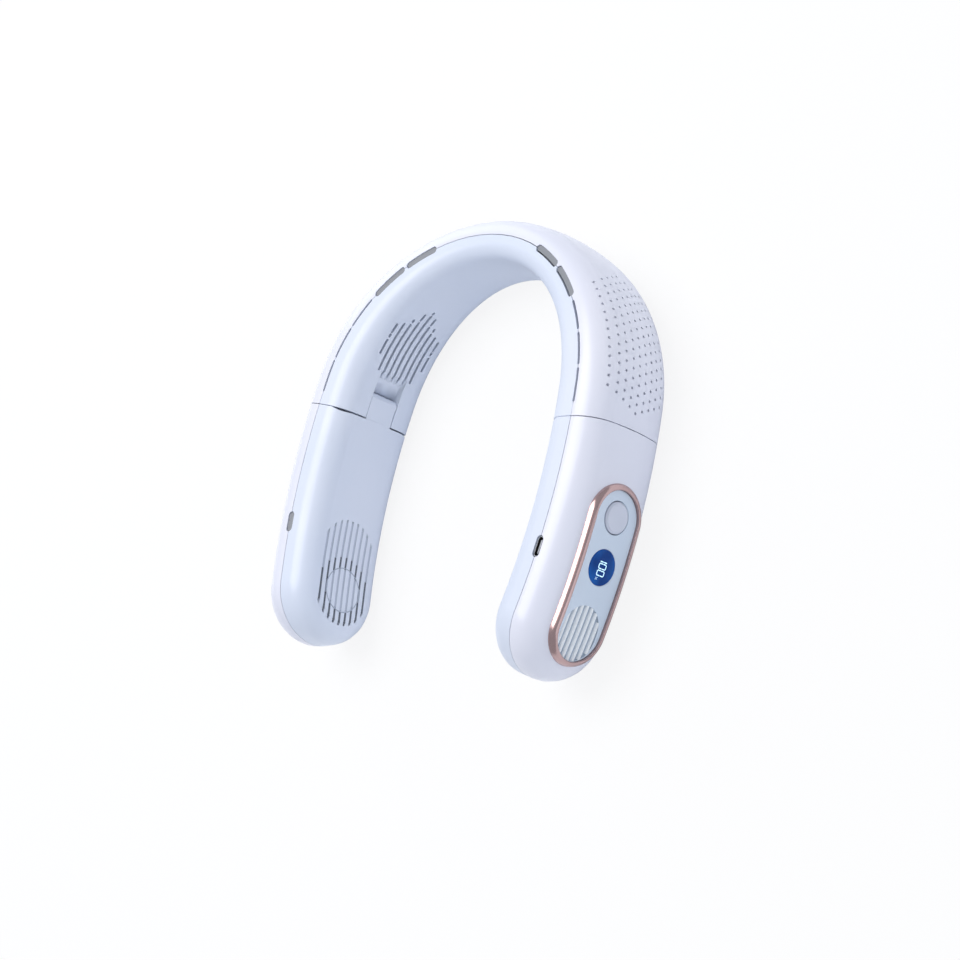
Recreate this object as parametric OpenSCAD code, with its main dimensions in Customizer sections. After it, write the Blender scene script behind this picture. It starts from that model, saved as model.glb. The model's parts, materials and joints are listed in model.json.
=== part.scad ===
// Bladeless neck fan: a curved back band and two arms that hinge on it.
// The pieces are built round the band's mid plane, z = 0, with the middle of
// the back on +Y and the arms pointing to -Y. in_frame() then stands the fan
// on its lower rims, with the origin under the middle of its box.
// Places on the band are given by s, the distance along its centreline from
// the middle of the back, by a, the distance outwards from that centreline,
// and by z, the height.

/* [Band] */
// Height of the arms, rim to rim
band_h = 48.5; // [46:0.5:54]
// Thickness of the arms, inner face to outer face
band_t = 31; // [30:0.5:35]
// Height of the band at the middle of the back
back_h = 39.2; // [36:0.2:44]
// Thickness of the band at the middle of the back
back_t = 19.6; // [18.6:0.2:24]
// Radius of the centreline round the back of the neck
back_r = 79; // [76:0.5:88]
// Turn of the round back from its middle to each side, in degrees
back_turn = 83.2; // [80:0.2:86]
// Radius of the centreline along the arms
arm_r = 315; // [290:5:400]
// Distance from the end of the round back to the hinge seam
seam_past = 13.8; // [13:0.2:18]
// Length of an arm's centreline from the seam to the middle of its round end
arm_len = 84.5; // [82:0.5:96]
// Wall thickness of the shells
wall = 2; // [1.6:0.1:2.2]
// Radius between the outer face and the rims
outer_corner = 13.5; // [12:0.5:14.5]
// Radius between the inner face and the rims
inner_corner = 10.5; // [9:0.5:11]
// Radius of the crown across the outer face
face_r = 70; // [60:5:90]
// Gap of the parting line between the inner and outer shells
parting = 0.3; // [0.2:0.05:0.4]

/* [Hinge] */
// Gap between the back's end and the arm at rest
seam_gap = 0.4; // [0.3:0.05:0.5]
// Distance of the hinge pin from the seam
pin_back = 9.8; // [9:0.2:11]
// Radius of the knuckle round the pin
knuckle_r = 3.2; // [2.8:0.1:3.4]
// Radius of the hinge pin
pin_r = 1.25; // [1:0.05:1.5]
// Width of the tongue that carries the knuckle
tongue_w = 16; // [13:0.5:17]
// Length of the sloping recess above the tongue
recess_len = 7.6; // [5:0.2:8]
// Depth of the sloping recess at the tongue
recess_d = 4.2; // [3:0.2:4.4]

/* [Outlets] */
// Distance from the middle of the back to the start of the wide outlet
outlet_from = 32.7; // [30:0.1:36]
// Distance to the bridge across the wide outlet
outlet_bridge = 51.4; // [48:0.1:54]
// Distance to the end of the wide outlet
outlet_to = 71.3; // [68:0.1:73]
// Width of the wide outlet
outlet_w = 3.4; // [2.6:0.1:4]
// Width of the narrow outlet
slit_w = 1.2; // [0.9:0.1:1.6]
// Width of the bridges across the outlets
bridge_w = 1.3; // [1:0.1:1.8]

/* [Back fans] */
// Distance from the middle of the back to each back fan's axis
fan_s = 84.3; // [83:0.1:86]
// Radius of the intake pattern on the inner face
grille_r = 20.5; // [19:0.1:21]
// Distance between the rows of intake slots
slot_pitch = 3.43; // [3.2:0.01:3.5]
// Width of an intake slot
slot_w = 1.3; // [1:0.1:1.5]
// Distance between the perforations along the band
dot_pitch = 3.72; // [3.4:0.01:3.8]
// Distance between the rows of perforations
dot_row = 4; // [3.6:0.1:4.1]
// Radius of a perforation
dot_r = 0.65; // [0.5:0.05:0.8]
// Height of the middle row of perforations over the mid plane
dot_rise = 2; // [0:0.1:2.5]

/* [Fan units] */
// Outer radius of a fan housing
housing_r = 17.4; // [16.8:0.1:17.8]
// Wall thickness of a fan housing
housing_wall = 1; // [0.8:0.1:1.2]
// Radius of an impeller
impeller_r = 15.6; // [14.6:0.1:15.6]
// Radius of an impeller's hub
hub_r = 9.6; // [9.2:0.1:10]
// Height of an impeller's blades
blade_h = 12; // [8:0.1:12.4]
// Number of blades
blades = 13; // [9:1:15]
// Thickness of a blade
blade_t = 0.9; // [0.7:0.05:1.1]
// Radius of a fan's shaft
shaft_r = 1; // [0.8:0.05:1.2]

/* [Arm grille] */
// Radius of the intake field's round ends on an arm's inner face
field_r = 16.4; // [15:0.1:17]
// Length between the centres of the intake field's round ends
field_len = 16.9; // [12:0.1:18]
// Radius of the closed disc in the middle of the intake
disc_r = 10.2; // [9:0.1:11]
// Depth of the grooves between the intake field's ribs
groove_d = 0.6; // [0.4:0.1:0.8]

/* [Control panel] */
// Radius of the trim ring's outer edge at its round ends
trim_r = 14.7; // [14.2:0.1:15]
// Length between the centres of the panel's round ends
panel_len = 48.6; // [47:0.1:50]
// Width of the trim ring
trim_w = 1.8; // [1.4:0.1:2]
// Height of the trim ring over the arm's outer face
trim_proud = 1.6; // [1:0.1:2]
// Depth of the pocket under the panel
pocket_d = 2.9; // [2.6:0.1:3]
// Radius of the power button
button_r = 6.4; // [5.8:0.1:6.8]
// Travel of the power button
button_travel = 0.5; // [0.3:0.05:0.6]
// Radius of the display window
window_r = 7.5; // [7:0.1:7.8]
// Distance from the button's centre to the display's centre
window_from_button = 20.6; // [20:0.1:21.5]
// Half width of the ribbed field at the panel's lower end
rib_field_r = 9.7; // [9:0.1:10.2]
// Extra length of the ribbed field along the arm
rib_stretch = 2.8; // [2:0.1:3]

/* [Charging port] */
// Distance from the seam to the middle of the charging port
port_from_seam = 56.5; // [55:0.5:60]
// Length of the opening in the rim
port_l = 9.5; // [9.4:0.1:9.8]
// Width of the opening in the rim
port_w = 3.8; // [3.7:0.1:4]
// Length of the socket's metal shell
socket_l = 8.94; // [8.8:0.01:9]
// Width of the socket's metal shell
socket_w = 3.26; // [3.2:0.01:3.3]
// Depth of the socket
socket_d = 7.3; // [6:0.1:8]

/* [Batteries and boards] */
// Length of a battery
battery_l = 50; // [44:0.5:52]
// Height of a battery
battery_h = 30; // [26:0.5:31]
// Thickness of a battery
battery_t = 9; // [7.6:0.1:9.2]
// Distance from the seam to the battery's near end
battery_from_seam = 8; // [6:0.5:9]
// Thickness of the circuit boards
board_t = 1.2; // [1:0.1:1.6]
// Length of the control board
board_l = 40; // [38:0.5:41]
// Width of the control board
board_w = 25; // [24.5:0.1:26]

/* [Hidden] */
$fn = 64;
// Overrun of every cut past the face that it opens
over = 1;
// Free space between a piece and its seat
seat = 0.3;
// Radial space of a pressed or bolted fit
snug = 0.02;
// Radial space of a running fit
running = 0.05;
// Stations of the back's loft on each side, and points round its curves
stations = 19;
corner_steps = 6;
face_steps = 4;
slot_steps = 8;
slot_step_w = 0.2;

// Centreline
arc_len = back_r*back_turn*PI/180;
seam_s = arc_len + seam_past;
tip_s = seam_s + arm_len;
back_end_s = seam_s - seam_gap/2;
arm_cx = (back_r - arm_r)*sin(back_turn);
arm_cy = (back_r - arm_r)*cos(back_turn);
function heading(s) =
    abs(s) <= arc_len ? s/back_r*180/PI
    : sign(s)*(back_turn + (abs(s) - arc_len)/arm_r*180/PI);
function line_x(s) =
    abs(s) <= arc_len ? back_r*sin(heading(s))
    : sign(s)*(arm_cx + arm_r*sin(abs(heading(s))));
function line_y(s) =
    abs(s) <= arc_len ? back_r*cos(heading(s)) : arm_cy + arm_r*cos(heading(s));

// The band is lower and thinner at the middle of the back
function taper(s) = abs(s) < arc_len ? (1 + cos(180*s/arc_len))/2 : 0;
function reach_at(s) = (band_t - (band_t - back_t)*taper(s))/2;
function rise_at(s) = (band_h - (band_h - back_h)*taper(s))/2;
function squeeze(s) = min(2*reach_at(s)/band_t, 2*rise_at(s)/band_h);
function band_point(s, p) =
    [line_x(s) + p.x*sin(heading(s)), line_y(s) + p.x*cos(heading(s)), p.y];

// Fan units' parts, with heights over the centreline, towards the intake
base_t = 1.2;
base_z = -4;
bearing_t = 1.2;
bearing_r = shaft_r + bearing_t;
tube_t = 1;
tube_r = bearing_r + tube_t;
tube_top = 1.6;
hub_wall = 0.7;
hub_top = 5;
stator_h = 4.2;
stator_r = hub_r - 2*hub_wall;
plate_t = 1.2;
plate_gap = 1;
plate_z = base_z + plate_gap;
lug_r = 2.3;
screw_r = 0.95;
head_r = 1.9;
lug_x = housing_r + head_r + seat;
lug_turn = 145;
head_h = 1.2;
post_bore_d = 4;

// Panel levels, as distances out from the arm's centreline
face_a = band_t/2;
pocket_a = face_a - pocket_d;
floor_t = 1.6;
panel_a = pocket_a + seat;
panel_proud = 0.1;
panel_top_a = face_a + panel_proud;
panel_r = trim_r - trim_w - seat;
panel_s = tip_s - panel_len;
window_s = panel_s + window_from_button;
port_s = seam_s + port_from_seam;
flange_t = 0.9;
flange_w = 1;
flange_r = button_r + flange_w;
button_gap = 0.3;
flange_top_a = panel_a - seat;
stem_r = 1.6;
stem_l = 1.3;
stem_end_a = flange_top_a - flange_t - stem_l;
plunger_r = 1.7;
plunger_l = 1.1;
plunger_top_a = stem_end_a;
switch_w = 6;
switch_h = 3.4;
switch_top_a = plunger_top_a - plunger_l;
board_top_a = switch_top_a - switch_h - seat;
board_clear = 2.6;
board_s = tip_s - housing_r - board_clear - board_l/2;
board_post_r = 1.9;
window_t = 1.3;
rib_count = 7;
rib_d = 1.1;
rib_share = 0.6;
rib_steps = 8;

// Hinge places
pin_s = seam_s - pin_back;
pin_a = -(face_a - knuckle_r);
cheek_z = band_h/2 - inner_corner - seat/2;
notch_w = tongue_w + 2*seat;

slit_share = 0.65;

// Box of the whole fan, for the origin
tip_lean = heading(tip_s) - 90;
front_y = line_y(tip_s)
    - max([for (p = outer_points(tip_s, 0, 0)) p.y*cos(tip_lean) + p.x*sin(tip_lean)]);
rear_y = back_r + back_t/2;
side_x = arm_cx + arm_r + face_a;
frame_x = trim_proud/2;
frame_y = (front_y + rear_y)/2;

// Colours
pearl = [0.93, 0.94, 0.98];
pale = [0.82, 0.86, 0.92];
rose = [0.80, 0.60, 0.54];
slate = [0.45, 0.48, 0.50];
black = [0.05, 0.05, 0.06];
steel = [0.75, 0.76, 0.78];
copper = [0.78, 0.45, 0.22];
green = [0.10, 0.35, 0.22];
blue = [0.20, 0.45, 0.75];

module in_frame() {
    translate([-frame_x, -frame_y, band_h/2]) children();
}

// Places of children: a side of the fan, a station of the band, a fan's axis
module on_side(side) {
    mirror([side < 0 ? 1 : 0, 0, 0]) children();
}
module at_band(s) {
    translate([line_x(s), line_y(s), 0]) rotate([0, 0, -heading(s)]) children();
}
module at_fan(s) {
    at_band(s) rotate([90, 0, 0]) children();
}

// Sweep of a section, drawn as [a, z], along an arm
module arm_sweep(from_s, to_s) {
    at_band(tip_s)
        translate([0, -arm_r, 0])
            rotate([0, 0, heading(tip_s) - heading(to_s)])
                rotate_extrude(angle = heading(to_s) - heading(from_s), start = 90, $fn = 360)
                    translate([arm_r, 0]) children();
}
// Half turn of the same section round the line through the arm's tip
module arm_tip() {
    at_band(tip_s)
        rotate([-90, 0, 0])
            rotate_extrude(angle = 180, start = -90)
                intersection() {
                    rotate(90) children();
                    translate([0, -band_t]) square([band_h, 2*band_t]);
                }
}
// A flat stadium, and a slab with such an outline that is bent along the arm
module stadium(length, width, height) {
    linear_extrude(height) union() {
        square([length - width, width], center = true);
        for (x = [-1, 1]) translate([x*(length - width)/2, 0]) circle(width/2, $fn = 64);
    }
}
module racetrack(from_s, r, from_a, to_a) {
    intersection() {
        at_band((from_s + tip_s)/2)
            rotate([-90, 0, 0])
                translate([0, 0, from_a < 0 ? -band_t : 0]) stadium(tip_s - from_s + 2*r, 2*r, band_t);
        arm_sweep(from_s - r - over, tip_s + r + over)
            translate([from_a, -r - over]) square([to_a - from_a, 2*(r + over)]);
    }
}
// Bars along the arm, side by side
module bars(count, pitch, width, from_s, to_s, from_a, to_a) {
    for (i = [0:count - 1])
        arm_sweep(from_s, to_s)
            translate([from_a, (i - (count - 1)/2)*pitch - width/2]) square([to_a - from_a, width]);
}

// Loft through outlines of equal counts, one after the other. A hollow outline
// goes out along its first half and back along its second half.
module loft(sections, hollow = false) {
    count = len(sections[0]);
    rows = len(sections);
    last = (rows - 1)*count;
    sides = [for (i = [0:rows - 2], j = [0:count - 1])
        let (p = i*count + j, q = i*count + (j + 1)%count)
            each [[p, q, q + count], [p, q + count, p + count]]];
    caps = hollow
        ? [for (j = [0:count/2 - 2]) let (k = count - 1 - j)
            each [[j, k, j + 1], [j + 1, k, k - 1],
                [last + j, last + j + 1, last + k], [last + j + 1, last + k - 1, last + k]]]
        : [[for (j = [count - 1:-1:0]) j], [for (j = [0:count - 1]) last + j]];
    polyhedron([for (outline = sections) each outline], concat(sides, caps), convexity = 8);
}

// Half sections of the band, as points from the upper to the lower parting.
// inset is the distance in from the surface, edge the place of the parting.
function round_points(centre, r, from, to) =
    [for (i = [0:corner_steps]) let (t = from + (to - from)*i/corner_steps)
        centre + r*[cos(t), sin(t)]];
function outer_points(s, inset, edge) =
    let (reach = reach_at(s) - inset, rise = rise_at(s) - inset,
        corner = outer_corner*squeeze(s) - inset, crown = face_r - inset,
        lift = rise - corner, run = sqrt(pow(crown - corner, 2) - pow(lift, 2)),
        middle = reach - crown, lean = atan2(lift, run))
    concat([[edge, rise]],
        round_points([middle + run, lift], corner, 90, lean),
        [for (i = [1:face_steps - 1]) let (t = lean*(1 - 2*i/face_steps))
            [middle + crown*cos(t), crown*sin(t)]],
        round_points([middle + run, -lift], corner, -lean, -90),
        [[edge, -rise]]);
function inner_points(s, inset, edge) =
    let (reach = reach_at(s) - inset, rise = rise_at(s) - inset,
        corner = inner_corner*squeeze(s) - inset)
    concat([[-edge, rise]],
        round_points([corner - reach, rise - corner], corner, 90, 180),
        round_points([corner - reach, corner - rise], corner, 180, 270),
        [[-edge, -rise]]);
module outer_area(s, inset, edge) {
    polygon(outer_points(s, inset, edge));
}
module inner_area(s, inset, edge) {
    polygon(inner_points(s, inset, edge));
}
function reversed(list) = [for (i = [len(list) - 1:-1:0]) list[i]];
function placed(s, outline) = [for (p = outline) band_point(s, p)];
back_stations = [for (i = [-stations:stations]) back_end_s*i/stations];

module back_outer_skin() {
    loft([for (s = back_stations) placed(s, concat(
        outer_points(s, 0, parting/2), reversed(outer_points(s, wall, parting/2))))], true);
}
module back_inner_skin() {
    loft([for (s = back_stations) reversed(placed(s, concat(
        inner_points(s, 0, parting/2), reversed(inner_points(s, wall, parting/2)))))], true);
}
// Wall across each end of the back, just inside the butt face
module end_wall() {
    at_band(back_end_s)
        translate([-wall - seat, 0, 0])
            rotate([90, 0, 90]) linear_extrude(wall) children();
}

// Opening along the rim between two places, with round ends
function spot(s, x, a) =
    [line_x(s) + a*sin(heading(s)) + x*cos(heading(s)),
        line_y(s) + a*cos(heading(s)) - x*sin(heading(s))];
function slot_outline(from, to, r) =
    concat(
        [for (i = [0:slot_steps]) spot(from + (to - from)*i/slot_steps, 0, r)],
        [for (i = [1:slot_steps - 1]) let (t = 180*i/slot_steps) spot(to, r*sin(t), r*cos(t))],
        [for (i = [0:slot_steps]) spot(to - (to - from)*i/slot_steps, 0, -r)],
        [for (i = [1:slot_steps - 1]) let (t = 180*i/slot_steps) spot(from, -r*sin(t), -r*cos(t))]);
module rim_slot(from_s, to_s, width) {
    low = rise_at(from_s) - wall - over;
    translate([0, 0, low])
        linear_extrude(band_h/2 + over - low)
            polygon(slot_outline(from_s + width/2, to_s - width/2, width/2));
}
slit_from = outlet_to + 2*bridge_w;
slit_step = (arc_len + seam_past*slit_share - slit_from)/3;
module outlets() {
    for (side = [-1, 1]) on_side(side) {
        rim_slot(outlet_from, outlet_bridge - bridge_w/2, outlet_w);
        rim_slot(outlet_bridge + bridge_w/2, outlet_to, outlet_w);
        for (i = [0:2])
            rim_slot(slit_from + i*slit_step, slit_from + (i + 1)*slit_step - bridge_w, slit_w);
    }
}

// Perforations of the outer face: rows that shorten away from the middle one
dot_row_count = 4;
dot_count = 17;
dot_s = outlet_to + grille_r;
module perforations() {
    for (side = [-1, 1], row = [-dot_row_count:dot_row_count]) {
        count = dot_count - abs(row);
        for (i = [0:count - 1])
            on_side(side)
                at_band(dot_s + (i - (count - 1)/2)*dot_pitch)
                    translate([0, 0, dot_rise + row*dot_row])
                        rotate([-90, 0, 0]) cylinder(r = dot_r, h = band_t, $fn = 16);
    }
}

// Slots of the back's intakes: for each row, out from the middle one, the
// starts and ends of its slots along the band as shares of the radius
slot_shares = [
    [[-1.19, -1.16], [-1.02, -0.56], [-0.44, 1]],
    [[-1.02, -0.87], [-0.72, -0.39], [-0.27, 0.95]],
    [[-0.76, -0.72], [-0.57, -0.29], [-0.17, 0.91]],
    [[-0.54, -0.38], [-0.24, 0.75]],
    [[-0.44, -0.24], [-0.12, -0.08], [0.08, 0.4]]];
module intake_slots() {
    for (side = [-1, 1], row = [-4:4], pair = slot_shares[abs(row)])
        on_side(side)
            at_band(fan_s + (pair[0] + pair[1])/2*grille_r)
                translate([0, 0, row*slot_pitch])
                    rotate([90, 0, 0]) stadium((pair[1] - pair[0])*grille_r + slot_w, slot_w, band_t);
}

// Pins' cheeks and the tongue's pocket on the back, with the pocket left open
pocket_from = -(pin_back + knuckle_r + seat);
recess_from = pocket_from - recess_len;
pocket_floor = pin_a + knuckle_r + seat;
cheek_back = pocket_floor + wall;
module cheek_block() {
    near_a = wall*0.3 - face_a;
    at_band(back_end_s)
        translate([recess_from - wall/3, near_a, -cheek_z])
            cube([-recess_from + wall/3 - parting/2, cheek_back - near_a, 2*cheek_z]);
}
module tongue_pocket() {
    slope = atan2(recess_d, recess_len);
    at_band(seam_s) {
        translate([pocket_from, -band_t, -notch_w/2])
            cube([-pocket_from + over, band_t + pocket_floor, notch_w]);
        translate([pocket_from, recess_d - face_a, -notch_w/2])
            rotate([0, 0, slope])
                translate([-band_t, -band_t, 0]) cube([band_t, band_t, notch_w]);
    }
    pin_hole(pin_r + snug, 2*cheek_z + 2*over);
}
module pin_hole(r, length) {
    at_band(pin_s) translate([0, pin_a, -length/2]) cylinder(r = r, h = length, $fn = 32);
}

// Lugs of a fan housing, as [x, z] from its axis: in line with the band on
// the back, turned away from the round end on the arms
function lugs(s) =
    s < arc_len ? [[-lug_x, 0], [lug_x, 0]]
    : [for (t = [-lug_turn, lug_turn]) [lug_x*cos(t), lug_x*sin(t)]];
// Distance out to the middle of the outer wall beside a back fan
function back_wall_a(x) =
    sqrt(pow(back_r + reach_at(fan_s + x) - wall*0.6, 2) - pow(x, 2)) - back_r;
module fan_posts(s, end_a) {
    post_a = -base_z + base_t + seat;
    for (lug = lugs(s)) {
        top_a = s < arc_len ? back_wall_a(lug.x) : end_a;
        at_band(s)
            translate([lug.x, post_a, lug.y])
                rotate([-90, 0, 0])
                    difference() {
                        cylinder(r = lug_r, h = top_a - post_a, $fn = 32);
                        translate([0, 0, -over])
                            cylinder(r = screw_r + running, h = post_bore_d, $fn = 24);
                    }
    }
}

module back_outer_shell() {
    color(pearl) in_frame() {
        difference() {
            back_outer_skin();
            outlets();
            perforations();
        }
        for (side = [-1, 1]) on_side(side) {
            fan_posts(fan_s);
            difference() {
                end_wall() outer_area(seam_s, wall/2, parting/2);
                wire_hole();
            }
        }
    }
}
module wire_hole() {
    at_band(seam_s)
        translate([-band_t/2, face_a/2, 0])
            rotate([0, 90, 0]) cylinder(r = face_a/5, h = band_t, $fn = 32);
}
module back_inner_shell() {
    color(pearl) in_frame() difference() {
        union() {
            difference() {
                back_inner_skin();
                outlets();
                intake_slots();
            }
            for (side = [-1, 1]) on_side(side) {
                cheek_block();
                end_wall() inner_area(seam_s, wall/2, parting/2);
            }
        }
        for (side = [-1, 1]) on_side(side) tongue_pocket();
    }
}

// Grey guide strips under the wide outlets
strip_w = 2*outlet_w;
strip_t = 1.4;
land_drop = 1;
land_w = outlet_w - 2*seat;
// Distance of the raised land from the slots' round ends
land_inset = outlet_w/2 - sqrt(pow(outlet_w/2, 2) - pow(land_w/2, 2)) + 2*seat;
louvre_pitch = 3.6;
function strip_points(s) =
    let (shoulder = rise_at(s) - wall - seat, edge = shoulder - 1.5*seat, low = shoulder - strip_t)
    [[-strip_w/2, low], [strip_w/2, low], [strip_w/2, edge], [outlet_w/2, shoulder],
        [-outlet_w/2, shoulder], [-strip_w/2, edge]];
function land_points(s) =
    let (top = rise_at(s) - land_drop, low = rise_at(s) - wall - 2*seat)
    [[-land_w/2, low], [land_w/2, low], [land_w/2, top], [-land_w/2, top]];
module outlet_strip(side) {
    from_s = outlet_from + seat;
    to_s = outlet_to - seat;
    steps = 14;
    count = floor((to_s - from_s)/louvre_pitch);
    color(slate) in_frame() on_side(side) difference() {
        union() {
            loft([for (i = [0:steps]) let (s = from_s + (to_s - from_s)*i/steps)
                reversed(placed(s, strip_points(s)))]);
            land(outlet_from + land_inset, outlet_bridge - bridge_w/2 - land_inset);
            land(outlet_bridge + bridge_w/2 + land_inset, outlet_to - land_inset);
        }
        for (i = [1:count - 1])
            at_band(from_s + i*louvre_pitch)
                translate([-louvre_pitch/4, -land_w/2 + seat, 0])
                    cube([louvre_pitch/2, land_w - 2*seat, band_h]);
    }
}
// Raised part of a strip, inside one slot
module land(from_s, to_s) {
    steps = 6;
    loft([for (i = [0:steps]) let (s = from_s + (to_s - from_s)*i/steps)
        reversed(placed(s, land_points(s)))]);
}

module hinge_pin(side) {
    color(steel) in_frame() on_side(side) pin_hole(pin_r, 2*cheek_z);
}

// Height that a housing's rim may have beside the rounding of the inner shell
function rim_of(s) =
    let (corner = inner_corner*squeeze(s) - wall, rise = rise_at(s) - wall)
    reach_at(s) - wall - corner + sqrt(pow(corner, 2) - pow(housing_r + 2*seat - rise + corner, 2));
// Fan units, drawn with the shaft on Z, the intake at the top and the rim on Y
module fan_housing(side, s) {
    rim = rim_of(s);
    mouth_turn = s < arc_len ? 0 : 90;
    color(slate) in_frame() on_side(side) at_fan(s) difference() {
        union() {
            difference() {
                union() {
                    translate([0, 0, base_z - base_t])
                        cylinder(r = housing_r, h = rim - base_z + base_t);
                    for (lug = lugs(s)) {
                        translate([lug.x, lug.y, base_z - base_t])
                            cylinder(r = lug_r, h = base_t, $fn = 32);
                        translate([0, 0, base_z - base_t])
                            rotate([0, 0, atan2(lug.y, lug.x)])
                                translate([0, seat - lug_r, 0]) cube([lug_x, 2*(lug_r - seat), base_t]);
                    }
                }
                translate([0, 0, base_z])
                    cylinder(r = housing_r - housing_wall, h = rim - base_z + over);
                rotate([0, 0, mouth_turn])
                    translate([-housing_r/2, housing_r/2, base_z + base_t])
                        cube([housing_r, housing_r, rim - base_z - 2*base_t]);
            }
            translate([0, 0, base_z - base_t]) cylinder(r = tube_r, h = tube_top - base_z + base_t);
        }
        translate([0, 0, base_z]) cylinder(r = bearing_r + snug, h = rim - base_z, $fn = 32);
        for (lug = lugs(s))
            translate([lug.x, lug.y, base_z - 2*base_t])
                cylinder(r = screw_r + running, h = 3*base_t, $fn = 24);
    }
}
module fan_bearing(side, s) {
    color(steel) in_frame() on_side(side) at_fan(s)
        translate([0, 0, base_z + seat]) difference() {
            cylinder(r = bearing_r, h = tube_top - base_z, $fn = 32);
            translate([0, 0, -over])
                cylinder(r = shaft_r + running, h = tube_top - base_z + 2*over, $fn = 32);
        }
}
module fan_shaft(side, s) {
    low = base_z + 2*seat;
    color(steel) in_frame() on_side(side) at_fan(s)
        translate([0, 0, low]) cylinder(r = shaft_r, h = hub_top - seat - low, $fn = 32);
}
stator_teeth = 9;
module fan_stator(side, s) {
    core_r = tube_r + (stator_r - tube_r)/3;
    shoe_w = (stator_r - core_r)/3;
    tooth_w = core_r/3;
    color(copper) in_frame() on_side(side) at_fan(s)
        translate([0, 0, base_z + seat])
            linear_extrude(stator_h) difference() {
                union() {
                    circle(core_r);
                    for (i = [0:stator_teeth - 1])
                        rotate(i*360/stator_teeth) {
                            translate([0, -tooth_w/2]) square([stator_r - shoe_w/2, tooth_w]);
                            intersection() {
                                difference() {
                                    circle(stator_r);
                                    circle(stator_r - shoe_w);
                                }
                                translate([0, -tooth_w]) square([stator_r, 2*tooth_w]);
                            }
                        }
                }
                circle(tube_r + running);
            }
}
module fan_impeller(side, s) {
    eye_r = (hub_r + impeller_r)/2 - blade_t;
    bend_r = impeller_r/2;
    color(slate) in_frame() on_side(side) at_fan(s) {
        difference() {
            translate([0, 0, plate_z]) cylinder(r = hub_r, h = hub_top - plate_z);
            translate([0, 0, plate_z - over])
                cylinder(r = hub_r - hub_wall, h = hub_top - plate_z - plate_t + over);
            translate([0, 0, plate_z])
                cylinder(r = shaft_r + snug, h = hub_top - plate_z + over, $fn = 32);
        }
        difference() {
            translate([0, 0, tube_top + 2*seat])
                cylinder(r = tube_r, h = hub_top - tube_top - 3*seat);
            cylinder(r = shaft_r + snug, h = hub_top + over, $fn = 32);
        }
        translate([0, 0, plate_z]) linear_extrude(plate_t) difference() {
            circle(impeller_r);
            circle(hub_r - hub_wall/2);
        }
        translate([0, 0, plate_z]) linear_extrude(blade_h) intersection() {
            difference() {
                circle(impeller_r - blade_t/2);
                circle(eye_r);
            }
            union() for (i = [0:blades - 1])
                rotate(i*360/blades) translate([eye_r, bend_r]) difference() {
                    circle(bend_r + blade_t/2);
                    circle(bend_r - blade_t/2);
                    translate([-2*bend_r, 0]) square(4*bend_r);
                    translate([-2*bend_r, -2*bend_r]) square([2*bend_r, 4*bend_r]);
                }
        }
        translate([0, 0, plate_z + blade_h - plate_t]) linear_extrude(plate_t) difference() {
            circle(impeller_r);
            circle(impeller_r - blade_t);
        }
    }
}
// Screws through the housings' lugs
module fan_screws(s) {
    at_fan(s) for (lug = lugs(s))
        translate([lug.x, lug.y, base_z + running]) {
            cylinder(r = head_r, h = head_h, $fn = 32);
            translate([0, 0, -post_bore_d])
                cylinder(r = screw_r, h = post_bore_d + head_h/2, $fn = 24);
        }
}

// Arms
arm_from = seam_s + seam_gap/2;
// The round cut that the arm needs to swing clear of the cheeks
relief_r = sqrt(pow(pin_back - seam_gap/2, 2) + pow(knuckle_r, 2)) + seat;
relief_z = tongue_w/2 - seat;
plate_half = tongue_w/2 - seat/2;
module arm_outer() {
    difference() {
        arm_solid(arm_from) outer_area(tip_s, 0, parting/2);
        arm_solid(arm_from + wall) outer_area(tip_s, wall, -parting);
        wire_hole();
        port_cut();
    }
}
module arm_solid(from_s) {
    arm_sweep(from_s, tip_s) children();
    arm_tip() children();
}
module port_cut() {
    at_band(port_s) translate([0, 0, band_h/2 - wall - over])
        stadium(port_l, port_w, wall + 2*over);
}
module left_arm_outer_shell() {
    color(pearl) in_frame() on_side(-1) {
        arm_outer();
        fan_posts(tip_s, face_a - wall*1.2);
    }
}
module right_arm_outer_shell() {
    ledge_r = trim_r + seat + floor_t;
    color(pearl) in_frame() {
        difference() {
            difference() {
                union() {
                    arm_outer();
                    intersection() {
                        racetrack(panel_s, ledge_r, pocket_a - floor_t, face_a);
                        arm_solid(arm_from) outer_area(tip_s, wall/2, parting);
                    }
                }
                racetrack(panel_s, trim_r + seat, pocket_a, face_a + 2*over);
            }
            at_band(panel_s) translate([0, pocket_a - band_t/2, 0])
                rotate([-90, 0, 0]) cylinder(r = flange_r + seat, h = band_t);
            at_band(window_s) translate([0, pocket_a - band_t/2, 0])
                rotate([-90, 0, 0]) cylinder(r = window_r + seat, h = band_t);
        }
        fan_posts(tip_s, pocket_a - floor_t/2);
        board_posts();
    }
}
// Places of the control board's posts and screws, looking outwards from from_a
module at_board_corners(from_a) {
    for (x = [-1, 1], z = [-1, 1])
        at_band(board_s)
            translate([x*(board_l/2 - 2*board_post_r), from_a, z*(board_w/2 - board_post_r)])
                rotate([-90, 0, 0]) children();
}
module board_posts() {
    post_a = board_top_a + seat;
    at_board_corners(post_a) difference() {
        cylinder(r = board_post_r, h = pocket_a - floor_t/2 - post_a, $fn = 32);
        translate([0, 0, -over])
            cylinder(r = screw_r + running, h = pocket_a - floor_t - post_a, $fn = 24);
    }
}

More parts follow.
